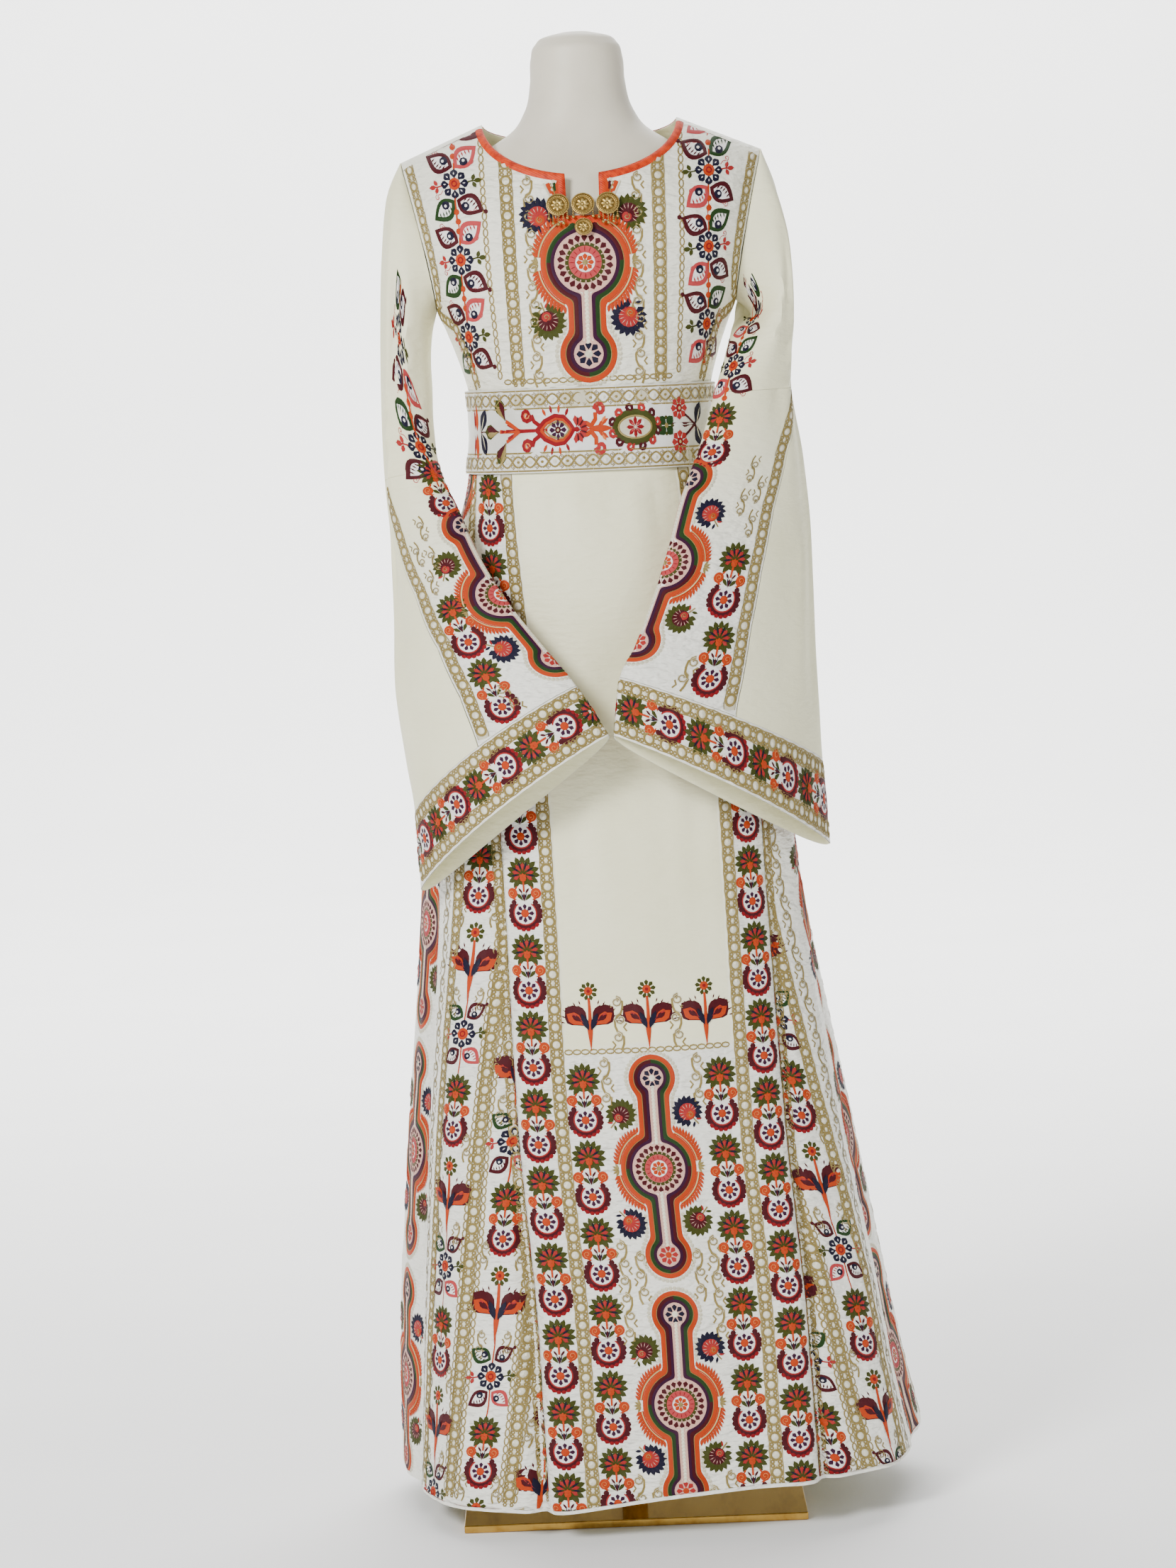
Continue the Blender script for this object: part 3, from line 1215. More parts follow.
def neck_bindings():
    slit_turn = math.asin(SLIT_HALF / NECK_X)
    end = math.asin(0.995)
    right = neck_path(FRONT_NECK_DROP, end, slit_turn, 40)
    top_z = neck_height(SLIT_HALF, FRONT_NECK_DROP)
    foot_z = WAIST_Z + (float(top_z) - WAIST_Z) * SLIT_SHARE
    foot_x = SLIT_HALF - (SLIT_HALF - SLIT_WAIST_HALF) * (1 - SLIT_SHARE)
    down = [(SLIT_HALF + (foot_x - SLIT_HALF) * t, top_z + (foot_z - top_z) * t)
            for t in np.linspace(0.06, 1, 14)]
    across = [(foot_x * t, foot_z - 0.001) for t in np.linspace(0.8, 0, 4)]
    half = right + down + across
    whole = half + [(-x, z) for x, z in reversed(half[:-1])]
    front = binding("neck_binding_front_band", FRONT, whole)
    back_half = neck_path(BACK_NECK_DROP, end, 0.0, 30)
    back = binding("neck_binding_back_band", BACK,
                   back_half + [(-x, z) for x, z in reversed(back_half[:-1])])
    return front, back


# ---------------------------------------------------------------- form and stand
def lathe_form():
    """The torso and neck of the form, smooth all over."""
    columns = table(FORM_ROWS)
    heights = np.concatenate([
        np.linspace(0.800, 0.822, 8)[:-1], np.linspace(0.822, 1.38, 60)[:-1],
        np.linspace(1.38, 1.53, 50)[:-1], np.linspace(1.53, 1.556, 18),
    ])
    count = 96
    turns = np.arange(count) / count * 2 * math.pi
    width, front, back = (smooth(heights, columns[0], c)[:, None] for c in columns[1:])
    neck = ramp((heights - 1.43) / 0.06)[:, None]
    bend = 2 / ROUNDNESS + (1 - 2 / ROUNDNESS) * neck
    x = width * signed_power(np.sin(turns), bend)
    depth = np.where(np.cos(turns) > 0, front, back)
    y = -depth * signed_power(np.cos(turns), bend)
    points = np.stack([x, y, heights[:, None] + 0 * x], 2).reshape(-1, 3) + AXIS
    number = np.arange(len(heights) * count).reshape(len(heights), count)
    after = np.roll(number, -1, axis=1)
    faces = np.stack([number[:-1], after[:-1], after[1:], number[1:]], 2).reshape(-1, 4).tolist()
    faces += [number[0, ::-1].tolist(), number[-1].tolist()]
    made = make_object("form_shell", points, faces, [FORM_PAINT])
    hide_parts("form_torso")


def bevelled_plate():
    """The plate with its edges just broken."""
    size = PLATE_HIGH - PLATE_LOW
    made = make_object("plate_body", np.zeros((0, 3)), [], [POLISHED_GOLD], 30)
    shape = bmesh.new()
    bmesh.ops.create_cube(shape, size=1.0)
    for vertex in shape.verts:
        middle = (PLATE_LOW + PLATE_HIGH) / 2
        vertex.co = Vector(middle) + Vector(c * s for c, s in zip(vertex.co, size))
    bmesh.ops.bevel(shape, geom=shape.edges[:], offset=0.0012, segments=3, profile=0.5,
                    affect="EDGES")
    shape.to_mesh(made.data)
    shape.free()
    made.data.materials.append(POLISHED_GOLD)
    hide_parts("base_plate")


def stand():
    lathe_form()
    bevelled_plate()
    for node in ("pole_flange", "form_pole"):
        for slot in bpy.data.objects[node].material_slots:
            slot.material = POLISHED_GOLD


# ---------------------------------------------------------------- thread shapes
EDGE_RISE = 0.10  # how far a shape's edge stands off the cloth, in millimetres


def circle(x, y, radius, sides, start=0.0, end=360.0):
    turns = np.radians(np.linspace(start, end, sides + 1))
    return np.stack([x + radius * np.cos(turns), y + radius * np.sin(turns)], 1)


def beside(path, distance):
    """A path moved to its left."""
    runs = unit(np.gradient(path, axis=0))
    return path + np.stack([-runs[:, 1], runs[:, 0]], 1) * np.asarray(distance)[..., None]


def lengths_along(path):
    return np.concatenate([[0], np.cumsum(np.linalg.norm(np.diff(path, axis=0), axis=1))])


def evenly(path, pitch, start=0.5):
    """Points and turns in degrees every pitch along a path."""
    path = np.asarray(path, float)
    along = lengths_along(path)
    count = max(int(along[-1] / pitch + 1e-6 - start) + 1, 1)
    wanted = (np.arange(count) + start) * pitch
    wanted = wanted[wanted < along[-1]]
    places = np.stack([np.interp(wanted, along, path[:, i]) for i in (0, 1)], 1)
    ahead = np.stack([np.interp(wanted + 1.0, along, path[:, i]) for i in (0, 1)], 1)
    behind = np.stack([np.interp(wanted - 1.0, along, path[:, i]) for i in (0, 1)], 1)
    run = ahead - behind
    return places, np.degrees(np.arctan2(run[:, 1], run[:, 0]))


FLAT_RING = 5.0  # millimetres between the rings of a low disc


class Stitches:
    """Shapes in thread. A point is x, y and rise in millimetres, then its place on the thread."""

    def __init__(self):
        self.points, self.faces, self.threads, self.count = [], [], [], 0

    def add(self, points, faces, thread):
        at = points[faces][..., :2]
        turn = np.cross(at[:, 1] - at[:, 0], at[:, 2] - at[:, 0])
        if turn.sum() < 0:
            faces = faces[:, ::-1]
        self.points.append(points)
        self.faces.append(faces + self.count)
        self.threads.append(np.full(len(points), THREAD_NUMBER[thread]))
        self.count += len(points)

    def strip(self, lines, rises, thread, level=0.0):
        """A surface through lines of points that run side by side."""
        lines = np.asarray(lines, float)
        count, long = lines.shape[:2]
        along = lengths_along(lines[count // 2])
        across = np.linalg.norm(np.diff(lines, axis=0), axis=2)
        points = np.zeros((count, long, 5))
        points[..., :2] = lines
        points[..., 2] = np.asarray(rises)[:, None] + level
        points[..., 3] = along
        points[1:, :, 4] = np.cumsum(across, axis=0)
        number = np.arange(count * long).reshape(count, long)
        a, b = number[:-1, :-1].ravel(), number[:-1, 1:].ravel()
        c, d = number[1:, 1:].ravel(), number[1:, :-1].ravel()
        faces = np.concatenate([np.stack([a, b, c], 1), np.stack([a, c, d], 1)])
        self.add(points.reshape(-1, 5), faces, thread)

    def leaf(self, x, y, turn, long, wide, thread, rise=0.55, belly=0.5, bend=0.0, stations=3,
             level=0.0):
        """A leaf or petal from its base at x, y. turn is in degrees, bend moves its tip aside."""
        t = np.linspace(0, 1, stations + 2)
        half = wide / 2 * np.sin(math.pi * t ** (math.log(0.5) / math.log(belly)))
        run = np.array((math.cos(math.radians(turn)), math.sin(math.radians(turn))))
        side = np.array((-run[1], run[0]))
        middle = np.array((x, y)) + np.outer(t * long, run) + np.outer(t**2 * bend, side)
        lines = [middle - np.outer(half, side), middle, middle + np.outer(half, side)]
        self.strip(lines, (EDGE_RISE, rise, EDGE_RISE), thread, level)

    def disc(self, x, y, radius, thread, rise=0.55, sides=10, level=0.0):
        rim = circle(x, y, radius, sides)
        self.strip([np.full_like(rim, (x, y)), rim], (rise, EDGE_RISE), thread, level)

    def flat(self, x, y, radius, thread, sides=20, level=0.0):
        """A low disc, in rings narrow enough to follow the cloth's hollows under the stitches."""
        rings = max(1, round(radius / FLAT_RING))
        lines = [circle(x, y, radius * i / rings, sides) for i in range(rings + 1)]
        self.strip(lines, [EDGE_RISE + 0.05] * rings + [EDGE_RISE], thread, level)

    def ring(self, x, y, inner, outer, thread, rise=0.45, sides=16, start=0.0, end=360.0,
             level=0.0):
        lines = [circle(x, y, r, sides, start, end) for r in (outer, (inner + outer) / 2, inner)]
        self.strip(lines, (EDGE_RISE, rise, EDGE_RISE), thread, level)

    def line(self, path, wide, thread, rise=0.4, level=0.0):
        path = np.asarray(path, float)
        wide = np.broadcast_to(np.asarray(wide, float), len(path))
        lines = [beside(path, -wide / 2), path, beside(path, wide / 2)]
        self.strip(lines, (EDGE_RISE, rise, EDGE_RISE), thread, level)

    def thin(self, path, wide, thread, rise=0.3, level=0.0):
        """A fine line of two faces a step, raised on one side."""
        path = np.asarray(path, float)
        lines = [beside(path, np.full(len(path), -wide / 2)),
                 beside(path, np.full(len(path), wide / 2))]
        self.strip(lines, (EDGE_RISE, rise), thread, level)

    def curl(self, x, y, radius, turns, wide, thread, start=0.0, hand=1, level=0.0, steps=10):
        """A spiral that starts at its rim, at the angle start."""
        t = np.linspace(0, 1, steps + 1)
        angles = np.radians(start) + hand * t * turns * 2 * math.pi
        r = radius * (1 - 0.75 * t)
        path = np.stack([x + r * np.cos(angles), y + r * np.sin(angles)], 1)
        self.thin(path, wide, thread, 0.35, level)

    def beads(self, path, pitch, radius, thread, rise=0.6, sides=6, level=0.0):
        for place, _ in zip(*evenly(path, pitch)):
            self.disc(*place, radius, thread, rise, sides, level)

    def petals(self, x, y, count, inner, long, wide, thread, rise=0.55, start=90.0, spread=360.0,
               belly=0.55, stations=2, level=0.0, slant=0.0):
        """Petals round a centre. spread is the angle they take, with its middle at start."""
        step = spread / count if spread >= 360 else spread / max(count - 1, 1)
        first = start if spread >= 360 else start - spread / 2
        for i in range(count):
            turn = first + i * step
            px = x + inner * math.cos(math.radians(turn))
            py = y + inner * math.sin(math.radians(turn))
            self.leaf(px, py, turn + slant, long, wide, thread, rise, belly, 0.0, stations, level)

    def arrays(self):
        if len(self.points) > 1:
            self.points = [np.concatenate(self.points)]
            self.faces = [np.concatenate(self.faces)]
            self.threads = [np.concatenate(self.threads)]
        return self.points[0], self.faces[0], self.threads[0]

    def heighten(self, times):
        """Stretches all the shapes up and down from y = 0."""
        points, _, _ = self.arrays()
        points[:, 1] *= times

    def put(self, other, x, y, turn=0.0, scale=1.0, flip=False):
        """Adds another's shapes, turned by degrees, scaled and moved. flip mirrors left to right."""
        points, faces, threads = other.arrays()
        points = points.copy()
        if flip:
            points[:, 0] = -points[:, 0]
            faces = faces[:, ::-1]
        c, s = math.cos(math.radians(turn)) * scale, math.sin(math.radians(turn)) * scale
        points[:, 0], points[:, 1] = (x + c * points[:, 0] - s * points[:, 1],
                                      y + s * points[:, 0] + c * points[:, 1])
        self.points.append(points)
        self.faces.append(faces + self.count)
        self.threads.append(threads)
        self.count += len(points)


# ---------------------------------------------------------------- motifs, in millimetres
RING_Y = -41  # a ring's centre, under its palmette's


def palmette_and_ring():
    """A palmette with its centre at 0, 0, over a scalloped ring."""
    m = Stitches()
    m.flat(0, -0.5, 11.5, "olive", 16)
    m.petals(0, 0, 13, 8.6, 9.8, 6.2, "olive", 0.5, 90, 290, belly=0.42, level=0.05)
    m.petals(0, -0.5, 7, 2.6, 9.4, 4.4, "coral", 0.75, 90, 240, belly=0.68, level=0.2)
    m.petals(0, -0.5, 6, 5.0, 8.4, 2.4, "navy", 0.6, 90, 200, belly=0.4, level=0.3)
    m.petals(0, -4.5, 3, 0.0, 5.0, 3.4, "orange", 0.7, 90, 90, belly=0.5, level=0.75)
    m.disc(0, -5.0, 3.6, "orange", 0.7, 8, 0.75)
    m.thin([(0, -8), (0, -14), (0, -19)], 2.0, "orange", 0.5, 0.2)
    for side in (-1, 1):
        m.disc(side * 12.6, -20.5, 5.6, "orange", 0.75, 12, 0.1)
        m.curl(side * 12.6, -20.5, 3.8, 1.1, 0.8, "peach", -90, side, 0.85, 8)
        m.leaf(side * 9.5, -17, 90 + side * 28, 5.0, 2.4, "orange", 0.6, stations=2)
        m.leaf(side * 1.0, -28.0, 90 - side * 42, 10.0, 4.2, "olive", 0.5, 0.6, stations=2)
        m.leaf(side * 1.6, -20.5, 90 - side * 36, 7.0, 2.4, "maroon", 0.5, stations=2, level=0.2)
        m.leaf(side * 0.6, -27.0, 90 - side * 16, 8.0, 1.8, "navy", 0.4, stations=1, level=0.25)
        m.leaf(side * 7.5, -27.0, 90 - side * 80, 6.0, 2.0, "orange", 0.5, stations=1)
    m.leaf(0, -29.0, 90, 9.0, 3.2, "maroon", 0.5, stations=2, level=0.1)
    x, y = 0, RING_Y
    m.flat(x, y, 12.2, "white", 18)
    m.ring(x, y, 11.8, 17.0, "maroon", 0.6, 20, 132, 408)
    for turn in np.linspace(136, 404, 16):
        c, s = math.cos(math.radians(turn)), math.sin(math.radians(turn))
        m.disc(x + 16.0 * c, y + 16.0 * s, 3.1, "red" if 225 < turn < 315 else "maroon", 0.6, 6,
               0.05)
    m.ring(x, y, 11.2, 12.6, "coral", 0.5, 18, 126, 414, 0.2)
    m.petals(x, y, 8, 3.4, 6.4, 4.6, "purple", 0.5, belly=0.62, level=0.1)
    m.disc(x, y, 4.4, "orange", 0.8, 9, 0.2)
    return m


BLOOM_RADIUS, BLOOM_PETALS = 15.0, 8


def bloom(petal, heart):
    """A round flower of separate petals."""
    m = Stitches()
    radius, count = BLOOM_RADIUS, BLOOM_PETALS
    m.petals(0, 0, count, radius * 0.40, radius * 0.66, radius * 0.62, petal, 0.6, belly=0.6,
             stations=3)
    m.petals(0, 0, count, radius * 0.62, radius * 0.22, radius * 0.10, "white", 0.3, stations=1,
             level=0.5)
    m.disc(0, 0, radius * 0.44, heart, 0.8, 10, 0.15)
    m.ring(0, 0, radius * 0.14, radius * 0.24, "red", 0.4, 8, level=0.6)
    return m


def spiky_flower(spikes, face, heart):
    """A round face in a ring of curved spikes, on a stem that points down."""
    m = Stitches()
    m.ring(0, 0, 7.0, 11.2, spikes, 0.4, 14, -60, 240)
    m.petals(0, 0, 15, 8.6, 8.4, 5.6, spikes, 0.6, 90, 300, belly=0.4, slant=24)
    m.disc(0, -0.8, 9.0, face, 0.6, 14, 0.25)
    m.petals(0, -2.5, 9, 5.0, 5.2, 0.7, "blush", 0.3, 90, 200, stations=1, level=0.75)
    m.disc(0, -4.6, 4.4, heart, 0.6, 10, 0.6)
    m.curl(0, -4.6, 3.0, 1.1, 0.7, "gold", 90, 1, 1.1, 7)
    m.thin([(0, -9), (0, -13), (0, -18)], 1.5, "gold", 0.4)
    m.leaf(-1, -12, 215, 7, 3.0, "coral", 0.5, stations=2)
    m.leaf(1, -13, -35, 7, 3.0, spikes, 0.5, stations=2)
    return m


def eye_leaf(band, ball=False):
    """A leaf 25 long from its base at 0, 0 along x: a band, a pale field, a comb and an eye."""
    m = Stitches()
    t = np.linspace(0, 1, 9)
    half = 9.0 * np.sin(math.pi * t**0.86)
    upper = np.stack([25 * t, half * 1.1 + 1.5 * t], 1)
    lower = np.stack([25 * t, -half * 0.9 + 1.5 * t], 1)
    outline = np.concatenate([upper, lower[-2:0:-1], upper[:1]])
    heart = np.array((11.0, 0.6))
    inner = heart + (outline - heart) * (0.66, 0.60)
    middle = (outline + inner) / 2
    m.strip([outline, middle, inner], (EDGE_RISE, 0.65, EDGE_RISE), band)
    m.strip([inner, np.full_like(inner, heart)], (EDGE_RISE, 0.2), "white")
    comb = "coral" if band == "pink" else band
    for place in (0.30, 0.41, 0.52, 0.63, 0.74):
        x = 25 * place
        top = 6.8 * math.sin(math.pi * place**0.86)
        m.leaf(x, top, -108, 5.2, 1.3, comb, 0.35, stations=1, level=0.25)
    m.disc(9.0, -1.4, 3.6, "navy", 0.55, 8, 0.25)
    m.disc(9.4, -0.8, 1.3, "white", 0.3, 6, 0.75)
    if ball:
        m.disc(26.0, 1.8, 2.0, "maroon", 0.7, 7, 0.1)
    return m


def sprig(thread):
    """Three small leaves on a stalk, from 0, 0 along x."""
    m = Stitches()
    m.thin([(0, 0), (5, 0.4), (8, 0)], 1.4, thread, 0.35)
    m.leaf(6, 0, 0, 8.5, 5.0, thread, 0.55, stations=2)
    m.leaf(5, 0.5, 66, 6.8, 4.4, thread, 0.55, stations=2)
    m.leaf(5, -0.5, -66, 6.8, 4.4, thread, 0.55, stations=2)
    return m


def wisp():
    """A faint open curl, from 0, 0 to the right."""
    m = Stitches()
    m.thin([(0, 0), (4, 2.4), (8, 1.8)], 0.8, "pink", 0.2)
    m.curl(9, 4.0, 3.2, 1.0, 0.8, "pink", -100, 1, 0.0, 8)
    return m


def vine_repeat():
    """One repeat of the vine, 79 tall: a flower at 0, 0 between two pairs of leaves."""
    m = Stitches()
    m.thin([(0, 39.5), (0.6, 20), (0, 0), (-0.6, -20), (0, -39.5)], 2.2, "orange", 0.5)
    for y in (39.5, 29.5, -29.5):
        m.disc(0, y, 3.4, "orange", 0.7, 8, 0.1)
    m.put(BLOOM, 0, 0)
    m.put(MAROON_LEAF, -1.0, 18.0, 152, 1.32)
    m.put(PINK_LEAF, 1.0, 17.0, 38, 1.32)
    m.put(GREEN_LEAF, -1.0, -17.0, 212, 1.32)
    m.put(BALL_LEAF, 1.0, -17.0, -28, 1.32)
    m.put(GREEN_SPRIG, 14.5, 1.0, 6, 1.1)
    m.put(CORAL_SPRIG, -14.5, -1.0, 186, 1.1)
    for x, y, turn in ((20, 16, 20), (18, -30, -20), (-18, 34, 150), (-22, -6, 200)):
        m.put(WISP, x * 0.62, y, turn)
    return m


def tulip():
    """A tapered stem that carries a small bloom between two wings. Its bloom is at 0, 0."""
    m = Stitches()
    m.petals(0, 0, 9, 3.4, 6.4, 4.6, "olive", 0.5, belly=0.6)
    m.disc(0, 0, 4.6, "orange", 0.75, 9, 0.2)
    m.disc(0, 0, 1.8, "red", 0.4, 6, 0.85)
    t = np.linspace(0, 1, 7)
    m.line(np.stack([0.4 * np.sin(3 * t), -7 - 30 * t], 1), 2.4 + 1.6 * t, "orange", 0.6, 0.35)
    m.leaf(0, -26, -90, 36, 6.4, "orange", 0.6, 0.22, level=0.4)
    for side in (-1, 1):
        base = 90 - side * 54
        m.leaf(side * 1.5, -37, base, 31, 21, "maroon", 0.55, 0.66, side * 3.0, 5)
        m.leaf(side * 1.5, -37, base + side * 30, 25, 9.0, "maroon", 0.55, 0.66, 0.0, 4)
        m.leaf(side * 4.0, -35, base - side * 4, 23, 12.5, "orange", 0.65, 0.62, level=0.35)
        m.leaf(side * 5.0, -33, base + side * 4, 17, 3.6, "coral", 0.4, 0.6, level=0.75)
        m.leaf(side * 7.5, -31, base - side * 4, 12.5, 5.6, "maroon", 0.5, 0.6, level=0.85)
        m.leaf(side * 1.2, -40, 90 - side * 22, 19, 6.6, "navy", 0.5, 0.5, level=0.85)
        for i in range(6):
            turn = math.radians(base + side * (36 - 12 * i))
            x, y = side * 1.5 + 24.0 * math.cos(turn), -37 + 24.0 * math.sin(turn)
            m.leaf(x, y, math.degrees(turn), 8.5 - abs(i - 3), 1.5, "maroon", 0.3, stations=1)
    return m


CURL_PITCH = 18.0


def curl_column(count):
    """A column of gold S-curls, from 0, 0 down."""
    m = Stitches()
    for i in range(count):
        y = -i * CURL_PITCH
        side = 1 if i % 2 == 0 else -1
        m.curl(side * 1.8, y - 4.8, 6.0, 1.25, 2.5, "grey gold", 90, side)
        m.curl(side * 1.8, y - 4.8, 6.0, 1.25, 1.0, "gold", 90, side, 0.3)
        m.thin([(side * 1.6, y), (-side * 4.4, y - 5), (-side * 4.0, y - 12),
                (-side * 1.6, y - CURL_PITCH)], 2.3, "gold", 0.35)
        m.thin([(side * 7.8, y - 9), (side * 4.6, y - 13), (side * 7.6, y - 17)], 1.8,
               "gold", 0.3)
    return m


def chain_link():
    """One loop of the chain border, 8 long."""
    m = Stitches()
    rim = circle(0, 0, 1.0, 8) * (2.5, 4.2)
    m.thin(rim, 1.5, "gold", 0.4)
    return m


def braid_repeat():
    """18 of the gold braid: a rosette with a pearl, and a knot of four loops."""
    m = Stitches()
    ground = [[(x, -9), (x, -3), (x, 3), (x, 9)] for x in (6.6, 2.2, -2.2, -6.6)]
    m.strip(ground, (0.06, 0.06, 0.06, 0.06), "grey gold")
    m.ring(0, 0, 3.9, 6.4, "gold", 0.8, 12, level=0.05)
    m.disc(0, 0, 3.4, "pearl", 1.1, 8, 0.1)
    for x, y in ((-3.8, 7.0), (3.8, 7.0), (-3.8, 11.0), (3.8, 11.0)):
        m.ring(x, y, 0.9, 2.6, "gold", 0.6, 6, level=0.1)
    m.disc(0, 9, 1.9, "pearl", 0.8, 6, 0.15)
    for x in (-6.5, 6.5):
        m.thin([(x, -9), (x * 1.05, -4.5), (x, 0), (x * 0.94, 4.5), (x, 9)], 1.0, "gold", 0.5, 0.1)
    return m


DISC, STEM_HALF = 26.0, 3.2  # radius of the medallion's disc, half width of its stems
OUTLINE_STEP = 2.6
STEM_ROWS = 11  # enough for a stem to follow the cloth under it


def dumbbell(offset, top, low, top_y, low_y):
    """The right half of the outline round the three circles and their stem, moved out."""
    half = STEM_HALF + offset
    path = []
    for y, radius, first, last in ((top_y, top, 90.0, None), (0.0, DISC, None, None),
                                   (low_y, low, None, -90.0)):
        r = radius + offset
        lean = math.degrees(math.asin(min(half / r, 0.95)))
        start = 90.0 - lean if first is None else first
        end = -90.0 + lean if last is None else last
        path.append(circle(0, y, r, 24, start, end))
    path = np.concatenate(path)
    along = lengths_along(path)
    wanted = np.linspace(0, along[-1], int(along[-1] / OUTLINE_STEP))
    path = np.stack([np.interp(wanted, along, path[:, i]) for i in (0, 1)], 1)
    for _ in range(1 + int(offset / 5)):
        path[1:-1] = path[1:-1] * 0.5 + (path[:-2] + path[2:]) * 0.25
    return path


MEDALLION_BANDS = (  # from and to, outside the disc, thread, rise. One turns half way down
    (0.0, 1.2, "blush", 0.35),
    (1.0, 4.4, "purple", 0.50),
    (4.2, 8.0, "turning", 0.55),
    (7.8, 8.6, "gold", 0.45),
    (8.4, 13.2, "orange", 0.70),
)


def medallion_bands(m, shape, turning):
    """Coloured bands that follow the outline.

    turning holds one band's threads on the right, above and below. On the left they trade places.
    """
    for number, (inner, outer, thread, rise) in enumerate(MEDALLION_BANDS):
        above, below = turning if thread == "turning" else (thread, thread)
        count = len(dumbbell(outer, *shape))
        t = np.linspace(0, 1, count)
        lines = []
        for offset in (inner, (inner + outer) / 2, outer):
            path = dumbbell(offset, *shape)
            share = np.linspace(0, 1, len(path))
            lines.append(np.stack([np.interp(t, share, path[:, i]) for i in (0, 1)], 1))
        lines = np.array(lines)
        middle = int(np.argmin(np.abs(lines[1, :, 1])))
        for side in (-1, 1):
            upper, lower = (above, below) if side > 0 else (below, above)
            rises = (EDGE_RISE, rise, EDGE_RISE)
            level = 0.03 * number
            m.strip(lines[:, :middle + 1] * (side, 1), rises, upper, level)
            m.strip(lines[:, middle:] * (side, 1), rises, lower, level)


def medallion_disc(m):
    """The big disc: rings of petals round an orange flower."""
    m.flat(0, 0, DISC, "blush", 26, -0.04)
    m.petals(0, 0, 22, 17.8, 6.8, 5.6, "maroon", 0.6, belly=0.62)
    m.ring(0, 0, 14.4, 17.6, "olive", 0.35, 22)
    m.petals(0, 0, 22, 15.0, 2.8, 1.1, "blush", 0.25, stations=1, level=0.3)
    m.ring(0, 0, 8.6, 14.4, "pink", 0.5, 22)
    m.petals(0, 0, 16, 8.8, 5.6, 0.8, "red", 0.3, stations=1, level=0.42)
    m.flat(0, 0, 8.6, "white", 16, 0.12)
    m.petals(0, 0, 8, 2.0, 5.8, 4.6, "orange", 0.5, belly=0.6, level=0.2)
    m.disc(0, 0, 2.6, "gold", 0.6, 7, 0.4)


def small_circle(m, y, radius, petal, heart):
    m.flat(0, y, radius, "blush", 16, 0.02)
    m.petals(0, y, 8, radius * 0.28, radius * 0.64, radius * 0.50, petal, 0.55, belly=0.62,
             level=0.1)
    m.disc(0, y, radius * 0.30, heart, 0.6, 8, 0.25)


WING = 41.4  # radius of the wings' quills, in millimetres


def feather_wings(m):
    """Two crescents of orange feathers on each side, with gold between them."""
    for side in (-1, 1):
        middle = 90 - 90 * side
        for high in (-1, 1):
            arc = np.radians(middle + side * high * np.linspace(8, 62, 11))
            path = np.stack([WING * np.cos(arc), WING * np.sin(arc)], 1)
            m.line(path, 4.4, "orange", 0.5, 0.02)
            m.thin(path * 0.99, 1.2, "pale gold", 0.5, 0.35)
            for step, turn in enumerate(np.linspace(8, 62, 13)):
                angle = math.radians(middle + side * high * turn)
                long = 10.8 - abs(step - 6) * 0.55
                m.leaf(WING * math.cos(angle), WING * math.sin(angle),
                       math.degrees(angle) + side * high * 34, long, 3.3, "orange", 0.6, 0.45,
                       stations=2, level=0.15)
        m.petals(side * 40.5, 0, 5, 0.5, 7.5, 2.6, "gold", 0.5, middle, 120)


UPPER_CIRCLE = 11.0  # radius of the small circle over the disc


def medallion(lower=("coral", "orange"), top_y=93.0, low_y=-89.0, low=11.0,
              turning=("green", "maroon")):
    """The big round medallion, with a small circle on a stem above and below it.

    lower holds the lower circle's threads: its petals and its heart.
    """
    m = Stitches()
    shape = (UPPER_CIRCLE, low, top_y, low_y)
    feather_wings(m)
    medallion_bands(m, shape, turning)
    edge = dumbbell(16.0, *shape)
    for part in (edge[edge[:, 1] > 44], edge[edge[:, 1] < -44]):
        for side in (-1, 1):
            m.beads(part * (side, 1), 4.2, 2.2, "grey gold", 0.6, 6)
    medallion_disc(m)
    for start, end in ((25.0, top_y - 8), (low_y + 8, -25.0)):
        rows = np.linspace(start, end, STEM_ROWS)
        sides = [np.stack([np.full(STEM_ROWS, half), rows], 1)
                 for half in (STEM_HALF, -STEM_HALF)]
        m.strip(sides, (0.1, 0.1), "blush")
        m.beads([(0, start), (0, end)], 3.6, 2.1, "pearl", 0.8, 6, 0.1)
    small_circle(m, top_y, UPPER_CIRCLE, "navy", "pearl")
    small_circle(m, low_y, low, *lower)
    return m


def flowered_medallion(flowers, **shape):
    """The medallion among its spiky flowers: (which, x, y, turn) for each."""
    m = Stitches()
    m.put(medallion(**shape), 0, 0)
    for flower, x, y, turn in flowers:
        m.put(flower, x, y, turn, 1.0, x > 0)
    return m


